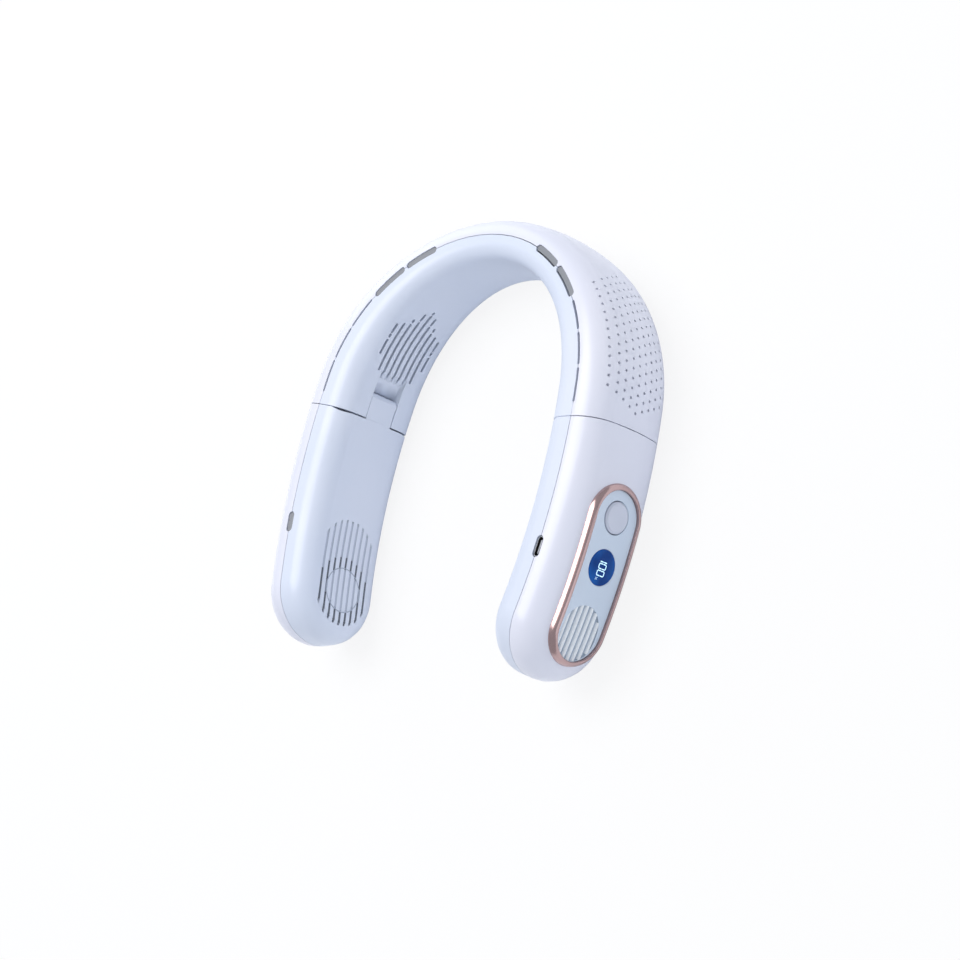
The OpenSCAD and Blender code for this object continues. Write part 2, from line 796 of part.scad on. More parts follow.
module intake_field() {
    field_s = tip_s - field_len;
    count = 2*floor(field_r/slot_pitch) + 1;
    low_a = -(face_a + over);
    far_s = tip_s + field_r + over;
    intersection() {
        racetrack(field_s, field_r, low_a, groove_d - face_a + over);
        bars(count, slot_pitch, slot_w, field_s - field_r - over, far_s,
            low_a, groove_d - face_a);
    }
    intersection() {
        at_fan(tip_s) difference() {
            cylinder(r = field_r, h = band_t);
            cylinder(r = disc_r, h = band_t + over);
        }
        bars(count, slot_pitch, slot_w - slot_step_w, tip_s - field_r - over, far_s,
            low_a, wall*1.5 - face_a);
    }
}
module tongue() {
    difference() {
        union() {
            arm_sweep(pin_s, arm_from + wall)
                translate([seat/2 - face_a, -plate_half]) square([2*knuckle_r - seat, 2*plate_half]);
            at_band(pin_s) translate([0, pin_a, -tongue_w/2]) cylinder(r = knuckle_r, h = tongue_w);
        }
        pin_hole(pin_r + running, 2*tongue_w);
    }
}
module arm_inner(side) {
    color(pearl) in_frame() on_side(side) {
        difference() {
            arm_solid(arm_from) inner_area(tip_s, 0, parting/2);
            arm_solid(arm_from + wall) inner_area(tip_s, wall, -parting);
            pin_relief();
            intake_field();
            port_cut();
        }
        tongue();
    }
}
module pin_relief() {
    for (z = [-1, 1])
        at_band(pin_s)
            translate([0, pin_a, z > 0 ? relief_z : -relief_z - band_h])
                cylinder(r = relief_r, h = band_h);
}

module battery(side) {
    edge = battery_t/4;
    middle_s = seam_s + battery_from_seam + battery_l/2;
    near_a = -(face_a - wall - seat);
    color(blue) in_frame() on_side(side)
        at_band(middle_s)
            translate([-battery_l/2, near_a, 0])
                rotate([90, 0, 90]) linear_extrude(battery_l) union() {
                    translate([0, -battery_h/2 + edge]) square([battery_t, battery_h - 2*edge]);
                    translate([edge, -battery_h/2]) square([battery_t - 2*edge, battery_h]);
                    for (a = [edge, battery_t - edge], z = [-1, 1])
                        translate([a, z*(battery_h/2 - edge)]) circle(edge, $fn = 32);
                }
}

module rim_insert() {
    lip_t = 1;
    color(slate) in_frame() on_side(-1) at_band(port_s) {
        translate([0, 0, band_h/2 - wall - seat - lip_t])
            stadium(port_l + wall, port_w + wall, lip_t);
        translate([0, 0, band_h/2 - wall - seat - lip_t/2])
            stadium(port_l - 2*seat, port_w - 2*seat, wall - seat + lip_t/2);
    }
}

// Control panel
module trim_ring() {
    color(rose) in_frame() difference() {
        racetrack(panel_s, trim_r, panel_a, face_a + trim_proud);
        racetrack(panel_s, trim_r - trim_w, panel_a - over, face_a + trim_proud + over);
    }
}
// Ribs with round backs that stand in the panel's oval recess
rib_pitch = 2*rib_field_r/rib_count;
rib_r = rib_pitch*rib_share/2;
module panel_ribs() {
    outline = [for (i = [0:rib_steps]) let (t = 180*i/rib_steps - 90) rib_r*[cos(t), sin(t)]];
    for (i = [0:rib_count - 1])
        arm_sweep(tip_s - rib_stretch - rib_field_r - over, tip_s + rib_field_r + over)
            translate([panel_top_a - seat/2 - rib_r, (i - (rib_count - 1)/2)*rib_pitch])
                polygon(concat([[-rib_d, -rib_r]], outline, [[-rib_d, rib_r]]));
}
module control_panel() {
    color(pale) in_frame() difference() {
        racetrack(panel_s, panel_r, panel_a, panel_top_a);
        at_band(panel_s) rotate([-90, 0, 0]) cylinder(r = button_r + button_gap, h = band_t);
        at_band(window_s) rotate([-90, 0, 0]) cylinder(r = window_r - seat*2, h = band_t);
        at_band(window_s) translate([0, panel_top_a - window_t - seat, 0])
            rotate([-90, 0, 0]) cylinder(r = window_r + seat/2, h = band_t);
        difference() {
            racetrack(tip_s - rib_stretch, rib_field_r, panel_top_a - rib_d, face_a + trim_proud);
            panel_ribs();
        }
    }
}
module power_button() {
    top_a = panel_top_a + seat;
    color(pale) in_frame() at_band(panel_s) rotate([-90, 0, 0]) {
        translate([0, 0, flange_top_a - flange_t/2])
            cylinder(r = button_r, h = top_a - flange_top_a + flange_t/2);
        translate([0, 0, flange_top_a - flange_t]) cylinder(r = flange_r, h = flange_t);
        translate([0, 0, stem_end_a]) cylinder(r = stem_r, h = flange_top_a - stem_end_a, $fn = 32);
    }
}
module switch_plunger() {
    depth = switch_h/2;
    color(black) in_frame() at_band(panel_s) rotate([-90, 0, 0])
        translate([0, 0, switch_top_a - depth])
            cylinder(r = plunger_r, h = plunger_top_a - switch_top_a + depth, $fn = 32);
}
module tact_switch() {
    color(slate) in_frame() at_band(panel_s) difference() {
        translate([-switch_w/2, switch_top_a - switch_h, -switch_w/2])
            cube([switch_w, switch_h, switch_w]);
        translate([0, switch_top_a - switch_h/2 - button_travel - seat, 0])
            rotate([-90, 0, 0]) cylinder(r = plunger_r + running, h = switch_h, $fn = 32);
    }
}
module display_window() {
    color(black) in_frame() at_band(window_s)
        translate([0, panel_top_a - window_t, 0])
            rotate([-90, 0, 0]) cylinder(r = window_r, h = window_t);
}
module display_module() {
    side_w = window_r*1.4;
    color(black) in_frame() at_band(window_s)
        translate([-side_w/2, board_top_a + 2*seat, -side_w/2])
            cube([side_w, panel_a - board_top_a - 3*seat, side_w]);
}
module control_board() {
    color(green) in_frame() difference() {
        at_band(board_s) translate([-board_l/2, board_top_a - board_t, -board_w/2])
            cube([board_l, board_t, board_w]);
        at_board_corners(board_top_a - 2*board_t)
            cylinder(r = screw_r + running, h = 3*board_t, $fn = 24);
    }
}
module board_screws() {
    at_board_corners(board_top_a - board_t - running) {
        translate([0, 0, -head_h]) cylinder(r = head_r, h = head_h, $fn = 32);
        cylinder(r = screw_r, h = board_t + 2*head_h, $fn = 24);
    }
}

// Charging port
module usb_socket() {
    shell_t = 0.35;
    tongue_t = 0.7;
    color(steel) in_frame() at_band(port_s) translate([0, 0, band_h/2 - 2*seat - socket_d]) {
        difference() {
            stadium(socket_l, socket_w, socket_d);
            translate([0, 0, 2*shell_t])
                stadium(socket_l - 2*shell_t, socket_w - 2*shell_t, socket_d);
        }
        translate([-socket_l/3, -tongue_t/2, shell_t])
            cube([2*socket_l/3, tongue_t, socket_d - tongue_t - shell_t]);
    }
}
module charging_board() {
    length = 2*socket_l;
    color(green) in_frame() at_band(port_s)
        translate([-length/2, -socket_w/2 - running - board_t, band_h/2 - wall - seat - 1.5*socket_l])
            cube([length, board_t, 1.5*socket_l]);
}

module back_screws() {
    color(steel) in_frame() for (side = [-1, 1]) on_side(side) fan_screws(fan_s);
}
module left_arm_screws() {
    color(steel) in_frame() on_side(-1) fan_screws(tip_s);
}
module right_arm_screws() {
    color(steel) in_frame() {
        fan_screws(tip_s);
        board_screws();
    }
}

back_outer_shell();
back_inner_shell();
outlet_strip(-1);  // left_outlet_strip
outlet_strip(1);  // right_outlet_strip
hinge_pin(-1);  // left_hinge_pin
hinge_pin(1);  // right_hinge_pin
fan_housing(-1, fan_s);  // left_back_fan_housing
fan_housing(1, fan_s);  // right_back_fan_housing
fan_stator(-1, fan_s);  // left_back_stator
fan_stator(1, fan_s);  // right_back_stator
fan_bearing(-1, fan_s);  // left_back_bearing
fan_bearing(1, fan_s);  // right_back_bearing
fan_shaft(-1, fan_s);  // left_back_shaft
fan_shaft(1, fan_s);  // right_back_shaft
fan_impeller(-1, fan_s);  // left_back_impeller
fan_impeller(1, fan_s);  // right_back_impeller
back_screws();
left_arm_outer_shell();
arm_inner(-1);  // left_arm_inner_shell
battery(-1);  // left_battery
fan_housing(-1, tip_s);  // left_arm_fan_housing
fan_stator(-1, tip_s);  // left_arm_stator
fan_bearing(-1, tip_s);  // left_arm_bearing
fan_shaft(-1, tip_s);  // left_arm_shaft
fan_impeller(-1, tip_s);  // left_arm_impeller
left_arm_screws();
rim_insert();
right_arm_outer_shell();
arm_inner(1);  // right_arm_inner_shell
battery(1);  // right_battery
fan_housing(1, tip_s);  // right_arm_fan_housing
fan_stator(1, tip_s);  // right_arm_stator
fan_bearing(1, tip_s);  // right_arm_bearing
fan_shaft(1, tip_s);  // right_arm_shaft
fan_impeller(1, tip_s);  // right_arm_impeller
right_arm_screws();
trim_ring();
control_panel();
power_button();
switch_plunger();
tact_switch();
display_window();
display_module();
control_board();
usb_socket();
charging_board();
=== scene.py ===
"""Looks of a bladeless neck fan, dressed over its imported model.

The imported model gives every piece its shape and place. This script gives the
shells their smooth skins, adds the rounded trim, the dished power button, the
ribs, the display's figures and the contacts of the charging socket, and
dresses every piece in its finish. Everything is in metres, in the shared frame.
"""

import json
import logging
import math
from collections.abc import Callable
from dataclasses import dataclass, replace
from enum import Enum
from functools import partial

import bmesh
import bpy
import numpy as np
from mathutils import Matrix, Vector
from mathutils.geometry import delaunay_2d_cdt

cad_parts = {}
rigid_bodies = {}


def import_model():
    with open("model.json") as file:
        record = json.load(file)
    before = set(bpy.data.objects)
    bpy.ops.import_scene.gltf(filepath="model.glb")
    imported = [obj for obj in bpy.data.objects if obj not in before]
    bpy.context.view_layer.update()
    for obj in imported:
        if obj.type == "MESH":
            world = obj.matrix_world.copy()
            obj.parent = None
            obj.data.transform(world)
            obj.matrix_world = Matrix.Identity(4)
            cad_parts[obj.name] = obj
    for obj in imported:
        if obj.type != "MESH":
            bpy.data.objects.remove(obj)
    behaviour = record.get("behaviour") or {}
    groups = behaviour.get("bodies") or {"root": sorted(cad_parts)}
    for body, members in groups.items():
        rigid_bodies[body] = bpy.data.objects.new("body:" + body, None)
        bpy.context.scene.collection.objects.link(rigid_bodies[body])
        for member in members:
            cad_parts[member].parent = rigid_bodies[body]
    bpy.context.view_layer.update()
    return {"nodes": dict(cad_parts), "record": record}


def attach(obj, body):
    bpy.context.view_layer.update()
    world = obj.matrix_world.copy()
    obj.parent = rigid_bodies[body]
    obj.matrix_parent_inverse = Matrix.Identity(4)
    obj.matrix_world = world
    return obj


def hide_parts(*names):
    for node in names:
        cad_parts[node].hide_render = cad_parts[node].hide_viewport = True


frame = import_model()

LOG = logging.getLogger("neck_fan")
MM = 0.001
DOUBLES = 1e-7
WHITE = (1.0, 1.0, 1.0, 1.0)

Shade = tuple[int, int, int]
Colour = tuple[float, float, float]
Point = tuple[float, float, float]
Pair = tuple[float, float]
Section = Callable[[float, float], list[Pair]]


def linear(shade: Shade) -> tuple[float, float, float, float]:
    """Turns red, green and blue of 0 to 255 into the linear, opaque colour that shaders take."""
    shares = [c / 255 for c in shade]
    return *(c / 12.92 if c <= 0.04045 else ((c + 0.055) / 1.055) ** 2.4 for c in shares), 1.0


# The band and its places


@dataclass(frozen=True)
class Band:
    """The curved band that the whole fan follows, with its sizes in metres."""

    back_r: float = 79 * MM
    back_turn: float = math.radians(83.2)
    arm_r: float = 315 * MM
    seam_past: float = 13.8 * MM
    arm_len: float = 84.5 * MM
    height: float = 48.5 * MM
    thickness: float = 31 * MM
    back_height: float = 39.2 * MM
    back_thickness: float = 19.6 * MM
    outer_corner: float = 13.5 * MM
    inner_corner: float = 10.5 * MM
    crown_r: float = 70 * MM
    origin: Point = (-0.8 * MM, 11.953 * MM, 24.25 * MM)

    @property
    def arc_len(self) -> float:
        """Length of the round back from its middle to one side."""
        return self.back_r * self.back_turn

    @property
    def seam_s(self) -> float:
        """Place of the hinge seam along the band."""
        return self.arc_len + self.seam_past

    @property
    def tip_s(self) -> float:
        """Place of the middle of an arm's round end."""
        return self.seam_s + self.arm_len

    @property
    def arm_centre(self) -> Pair:
        """Centre of the arms' gentle curve, on the right side."""
        span = self.back_r - self.arm_r
        return span * math.sin(self.back_turn), span * math.cos(self.back_turn)

    def heading(self, s: float) -> float:
        """Turn of the band at a place along it, in radians.

        Args:
            s: Distance along the band from the middle of the back.

        Returns:
            The angle from the middle of the back.
        """
        if s <= self.arc_len:
            return s / self.back_r
        return self.back_turn + (s - self.arc_len) / self.arm_r

    def axes(self, s: float, side: int = 1) -> Matrix:
        """Gives the frame at a place of the band.

        Args:
            s: Distance along the band from the middle of the back.
            side: 1 for the wearer's right arm, -1 for the left one.

        Returns:
            A matrix from (along, out, up) to the shared frame.
        """
        turn = self.heading(s)
        if s <= self.arc_len:
            x, y = self.back_r * math.sin(turn), self.back_r * math.cos(turn)
        else:
            x = self.arm_centre[0] + self.arm_r * math.sin(turn)
            y = self.arm_centre[1] + self.arm_r * math.cos(turn)
        along = Vector((side * math.cos(turn), -math.sin(turn), 0))
        out = Vector((side * math.sin(turn), math.cos(turn), 0))
        place = Vector((side * x, y, 0)) + Vector(self.origin)
        return Matrix((
            (along.x, out.x, 0, place.x),
            (along.y, out.y, 0, place.y),
            (0, 0, 1, place.z),
            (0, 0, 0, 1),
        ))

    def on_arm(self, middle_s: float, x: float, a: float, z: float) -> Point:
        """Places a point straight along the arm from a place, at a level of its curve and up."""
        out = math.sqrt((self.arm_r + a) ** 2 - x**2) - self.arm_r
        return tuple(self.axes(middle_s) @ Vector((x, out, z)))

    def coordinates(self, points: np.ndarray) -> tuple[np.ndarray, np.ndarray, np.ndarray]:
        """Turns points into places on the band.

        Args:
            points: Points in the shared frame, one a row.

        Returns:
            Distances along the band, out from its centreline and up.
        """
        local = points - np.array(self.origin)
        x, y, z = np.abs(local[:, 0]), local[:, 1], local[:, 2].copy()
        s = self.back_r * np.arctan2(x, y)
        a = np.hypot(x, y) - self.back_r
        arm_x, arm_y = x - self.arm_centre[0], y - self.arm_centre[1]
        on_arm = x * math.cos(self.back_turn) - y * math.sin(self.back_turn) > 0
        turn = np.arctan2(arm_x, arm_y)
        s = np.where(on_arm, self.arc_len + self.arm_r * (turn - self.back_turn), s)
        a = np.where(on_arm, np.hypot(arm_x, arm_y) - self.arm_r, a)
        tip = self.heading(self.tip_s)
        tip_x = self.arm_centre[0] + self.arm_r * math.sin(tip)
        tip_y = self.arm_centre[1] + self.arm_r * math.cos(tip)
        past = (x - tip_x) * math.cos(tip) - (y - tip_y) * math.sin(tip)
        out = (x - tip_x) * math.sin(tip) + (y - tip_y) * math.cos(tip)
        beyond = past > 0
        z = np.where(beyond, np.hypot(z, past), z)
        a = np.where(beyond, out, a)
        return np.where(beyond, self.tip_s, s), a, z

    def half_sizes(self, s: np.ndarray) -> tuple[np.ndarray, np.ndarray]:
        """Half thickness and half height of the band at places along it.

        Args:
            s: Distances along the band, one a point.

        Returns:
            Half thicknesses and half heights, one a point.
        """
        share = np.where(s < self.arc_len, (1 + np.cos(np.pi * s / self.arc_len)) / 2, 0)
        reach = (self.thickness - (self.thickness - self.back_thickness) * share) / 2
        return reach, (self.height - (self.height - self.back_height) * share) / 2

    def face_level(self, z: float) -> float:
        """Level of an arm's outer face at a height over the mid plane.

        Args:
            z: Height over the mid plane.

        Returns:
            Distance out from the centreline.
        """
        reach, rise = self.thickness / 2, self.height / 2
        lift = rise - self.outer_corner
        run = math.sqrt((self.crown_r - self.outer_corner) ** 2 - lift**2)
        if z / self.crown_r < lift / (self.crown_r - self.outer_corner):
            return reach - self.crown_r + math.sqrt(self.crown_r**2 - z**2)
        round_off = math.sqrt(max(self.outer_corner**2 - (z - lift) ** 2, 0))
        return reach - self.crown_r + run + round_off

    def unrolled(self, points: np.ndarray) -> tuple[np.ndarray, np.ndarray, np.ndarray]:
        """Turns points on an arm into places along its curve, out and up, past its tip too.

        Args:
            points: Points in the shared frame, one a row.

        Returns:
            Distances along the curve, out from it and up.
        """
        local = points - np.array(self.origin)
        x, y = np.abs(local[:, 0]) - self.arm_centre[0], local[:, 1] - self.arm_centre[1]
        s = self.arc_len + self.arm_r * (np.arctan2(x, y) - self.back_turn)
        return s, np.hypot(x, y) - self.arm_r, local[:, 2]

    def skin_distance(self, points: np.ndarray) -> np.ndarray:
        """Distance of points outside the band's smooth skin, negative inside.

        Args:
            points: Points in the shared frame, one a row.

        Returns:
            One distance a point.
        """
        s, a, z = self.coordinates(points)
        reach, rise = self.half_sizes(s)
        squeeze = np.minimum(2 * reach / self.thickness, 2 * rise / self.height)
        z = np.abs(z)
        corner = self.outer_corner * squeeze
        lift = rise - corner
        run = np.sqrt((self.crown_r - corner) ** 2 - lift**2)
        middle = reach - self.crown_r
        on_crown = np.arctan2(z, a - middle) < np.arctan2(lift, run)
        outer = np.where(
            on_crown,
            np.hypot(a - middle, z) - self.crown_r,
            np.where(a > middle + run, np.hypot(a - middle - run, z - lift) - corner, z - rise),
        )
        corner = self.inner_corner * squeeze
        edge_a, edge_z = corner - reach, rise - corner
        inner = np.where(
            z < edge_z,
            -reach - a,
            np.where(a < edge_a, np.hypot(a - edge_a, z - edge_z) - corner, z - rise),
        )
        return np.where(a > 0, outer, inner)

    def skin_normals(self, points: np.ndarray) -> np.ndarray:
        """Outward directions of the smooth skin at points near it.

        Args:
            points: Points in the shared frame, one a row.

        Returns:
            One unit direction a point.
        """
        step = 0.02 * MM
        slopes = [
            self.skin_distance(points + step * axis) - self.skin_distance(points - step * axis)
            for axis in np.eye(3)
        ]
        normals = np.stack(slopes, 1)
        return normals / np.maximum(np.linalg.norm(normals, axis=1, keepdims=True), 1e-12)


BAND = Band()


# Shared shader effects


class Shader:
    """A material or a node group that is being wired."""

    def __init__(self, tree: bpy.types.NodeTree) -> None:
        """Keeps the tree that the nodes go into."""
        self.tree = tree

    def node(self, kind: str, inputs: dict | None = None, **settings: object) -> bpy.types.Node:
        """Adds a node.

        Args:
            kind: Blender's name of the node type.
            inputs: Values or output sockets for its inputs, by name or number.
            settings: Properties of the node.

        Returns:
            The new node.
        """
        made = self.tree.nodes.new(kind)
        for name, value in settings.items():
            setattr(made, name, value)
        self.fill(made, inputs or {})
        return made

    def fill(self, node: bpy.types.Node, inputs: dict) -> None:
        """Sets or links a node's inputs, by name or number.

        Args:
            node: The node.
            inputs: Values or output sockets, by name or number.
        """
        for name, value in inputs.items():
            if isinstance(value, bpy.types.NodeSocket):
                self.tree.links.new(value, node.inputs[name])
            else:
                node.inputs[name].default_value = value

    def first(self, kind: str, inputs: dict | None = None, **settings: object) -> bpy.types.NodeSocket:
        """Adds a node and gives its first output."""
        return self.node(kind, inputs, **settings).outputs[0]

    def sum_of(self, kind: str, *terms: object) -> bpy.types.NodeSocket:
        """Adds a calculation and gives its result."""
        return self.first("ShaderNodeMath", dict(enumerate(terms)), operation=kind)

    def vector(self, **parts: object) -> bpy.types.NodeSocket:
        """Adds a vector from its X, Y and Z and gives it."""
        return self.first("ShaderNodeCombineXYZ", parts)

    def ranged(
        self, value: bpy.types.NodeSocket, low: float, high: float, **ends: object
    ) -> bpy.types.NodeSocket:
        """Stretches a value from low and high to 0 and 1, or to the given To Min and To Max.

        Args:
            value: The value.
            low: Value at the start of the range.
            high: Value at its end.
            ends: Results at both ends, as min and max.

        Returns:
            The stretched value.
        """
        inputs = {"Value": value, "From Min": low, "From Max": high}
        inputs |= {"To " + end.title(): share for end, share in ends.items()}
        return self.first("ShaderNodeMapRange", inputs)

    def noise(self, place: bpy.types.NodeSocket, scale: object, detail: float) -> bpy.types.NodeSocket:
        """Adds a noise and gives its value."""
        inputs = {"Vector": place, "Scale": scale, "Detail": detail}
        return self.node("ShaderNodeTexNoise", inputs).outputs["Fac"]

    def mix(self, share: object, start: object, end: object) -> bpy.types.NodeSocket:
        """Mixes two colours and gives the result."""
        inputs = {0: share, 6: start, 7: end}
        return self.node("ShaderNodeMix", inputs, data_type="RGBA").outputs[2]


SOCKET_KINDS = {float: "Float", int: "Int", tuple: "Vector", type(None): "Material"}


def add_input(tree: bpy.types.NodeTree, label: str, value: object) -> str:
    """Adds a named input to a tree.

    Args:
        tree: The tree.
        label: Name of the input.
        value: Its first value, which also settles its kind; none for a material.

    Returns:
        The input's identifier.
    """
    kind = SOCKET_KINDS[type(value)]
    if kind == "Vector" and len(value) == 4:
        kind = "Color"
    socket = tree.interface.new_socket(label, in_out="INPUT", socket_type="NodeSocket" + kind)
    if value is not None:
        socket.default_value = value
    return socket.identifier


def new_group(name: str, takes: dict[str, object], gives: dict[str, str]) -> tuple:
    """Starts a shader node group with named sockets.

    Args:
        name: Name of the group.
        takes: First value of each input, by name.
        gives: Kind of each output, by name.

    Returns:
        The group, its wiring helper, its input sockets and its output node.
    """
    group = bpy.data.node_groups.new(name, "ShaderNodeTree")
    for label, value in takes.items():
        add_input(group, label, value)
    for label, kind in gives.items():
        group.interface.new_socket(label, in_out="OUTPUT", socket_type="NodeSocket" + kind)
    wire = Shader(group)
    return group, wire, wire.node("NodeGroupInput").outputs, wire.node("NodeGroupOutput")


def soft_relief(name: str, stretch: Point, detail: float) -> bpy.types.NodeTree:
    """Builds a surface's fine relief, with every edge slightly rounded off.

    Args:
        name: Name of the group.
        stretch: Scale of the pattern along each axis; 1 for an even grain.
        detail: Fineness of the pattern's second layer.

    Returns:
        A group from Scale, Strength, Depth and Edge to Normal and an edge mask that marks wear and a
        painted edge highlight.
    """
    group, wire, taken, given = new_group(
        name, {"Scale": 2500.0, "Strength": 0.12, "Depth": 0.00001, "Edge": 0.0002},
        {"Normal": "Vector", "Wear and highlight": "Float"},
    )
    place = wire.node("ShaderNodeTexCoord").outputs["Object"]
    drawn = wire.first("ShaderNodeMapping", {"Vector": place, "Scale": stretch})
    fine = wire.noise(drawn, taken["Scale"], detail)
    slow = wire.noise(place, 120.0, 1.0)
    round_off = wire.first("ShaderNodeBevel", {"Radius": taken["Edge"]}, samples=4)
    bump = wire.first("ShaderNodeBump", {
        "Height": wire.sum_of("MULTIPLY_ADD", slow, 0.25, fine),
        "Strength": taken["Strength"], "Distance": taken["Depth"], "Normal": round_off,
    })
    facing = wire.node("ShaderNodeNewGeometry").outputs["Normal"]
    turn = wire.node("ShaderNodeVectorMath", {0: round_off, 1: facing}, operation="DOT_PRODUCT")
    # Patchy mask on the rounded edges: it tints edges for wear and as a painted edge highlight.
    edge = wire.ranged(turn.outputs["Value"], 0.98, 0.8)
    patchy = wire.ranged(slow, 0.35, 0.6, min=0.3)
    wire.fill(given, {"Normal": bump, "Wear and highlight": wire.sum_of("MULTIPLY", edge, patchy)})
    return group


def colour_drift() -> bpy.types.NodeTree:
    """Builds the slow change of tone over a piece, and its edges tinted for wear and as a painted edge
    highlight.

    Returns:
        A group from three colours, a Scale and an edge share to Color.
    """
    colours = {"Light": WHITE, "Deep": WHITE, "Worn and highlit": WHITE}
    group, wire, taken, given = new_group(
        "Colour drift", {**colours, "Scale": 18.0, "Wear and highlight": 0.0}, {"Color": "Color"}
    )
    place = wire.node("ShaderNodeTexCoord").outputs["Object"]
    share = wire.first(
        "ShaderNodeMapRange",
        {"Value": wire.noise(place, taken["Scale"], 1.5), "From Min": 0.25, "From Max": 0.75},
        interpolation_type="SMOOTHSTEP",
    )
    mixed = wire.mix(share, taken["Light"], taken["Deep"])
    wire.fill(given, {"Color": wire.mix(taken["Wear and highlight"], mixed, taken["Worn and highlit"])})
    return group


def handling_marks() -> bpy.types.NodeTree:
    """Builds the uneven gloss that handling leaves.

    Returns:
        A group from Least, Most and Scale to Roughness.
    """
    group, wire, taken, given = new_group(
        "Handling marks", {"Least": 0.3, "Most": 0.4, "Scale": 60.0}, {"Roughness": "Float"}
    )
    place = wire.node("ShaderNodeTexCoord").outputs["Object"]
    smears = wire.node(
        "ShaderNodeTexNoise",
        {"Vector": place, "Scale": taken["Scale"], "Detail": 2.0, "Roughness": 0.4},
    )
    least, most = taken["Least"], taken["Most"]
    wire.fill(given, {
        "Roughness": wire.ranged(smears.outputs["Fac"], 0.2, 0.8, min=least, max=most),
    })
    return group


class Effects:
    """The shared node groups, each built once."""

    def __init__(self) -> None:
        """Builds every group."""
        self.grain = soft_relief("Moulded grain", (1, 1, 1), 2.0)
        self.lines = soft_relief("Brushed lines", (0.05, 0.05, 1), 3.0)
        self.drift = colour_drift()
        self.marks = handling_marks()


# Finishes


@dataclass(frozen=True)
class Finish:
    """A finish of the fan's surfaces: display colours and values for one Principled shader."""

    name: str
    light: Shade
    deep: Shade
    gloss: Pair
    metallic: float = 0.0
    coat: float = 0.0
    coat_roughness: float = 0.1
    drift_scale: float = 18.0
    marks_scale: float = 60.0
    grain_scale: float = 2500.0
    grain_depth: float = 0.00001
    grain_strength: float = 0.12
    brushed: bool = False
    edge: float = 0.15 * MM
    # Colour that edges turn towards: wear, and a painted edge highlight on most finishes.
    worn: Shade = (246, 247, 249)
    glow: float = 0.0
    specular: float = 0.5

    def build(self, effects: Effects) -> bpy.types.Material:
        """Makes the material.

        Args:
            effects: The shared node groups.

        Returns:
            The finished material.
        """
        material = bpy.data.materials.new(self.name)
        material.use_nodes = True
        wire = Shader(material.node_tree)
        relief = wire.node("ShaderNodeGroup", {
            "Scale": self.grain_scale, "Strength": self.grain_strength,
            "Depth": self.grain_depth, "Edge": self.edge,
        }, node_tree=effects.lines if self.brushed else effects.grain)
        drift = wire.node("ShaderNodeGroup", {
            "Light": linear(self.light), "Deep": linear(self.deep), "Worn and highlit": linear(self.worn),
            "Scale": self.drift_scale, "Wear and highlight": relief.outputs["Wear and highlight"],
        }, node_tree=effects.drift)
        marks = wire.node("ShaderNodeGroup", {
            "Least": self.gloss[0], "Most": self.gloss[1], "Scale": self.marks_scale,
        }, node_tree=effects.marks)
        shader = material.node_tree.nodes["Principled BSDF"]
        wire.fill(shader, {
            "Base Color": drift.outputs["Color"], "Roughness": marks.outputs["Roughness"],
            "Normal": relief.outputs["Normal"], "Metallic": self.metallic,
            "Specular IOR Level": self.specular, "Coat Weight": self.coat,
            "Coat Roughness": self.coat_roughness,
        })
        if self.glow:
            wire.fill(shader, {
                "Emission Color": drift.outputs["Color"], "Emission Strength": self.glow,
            })
        material.diffuse_color = linear(self.light)
        return material


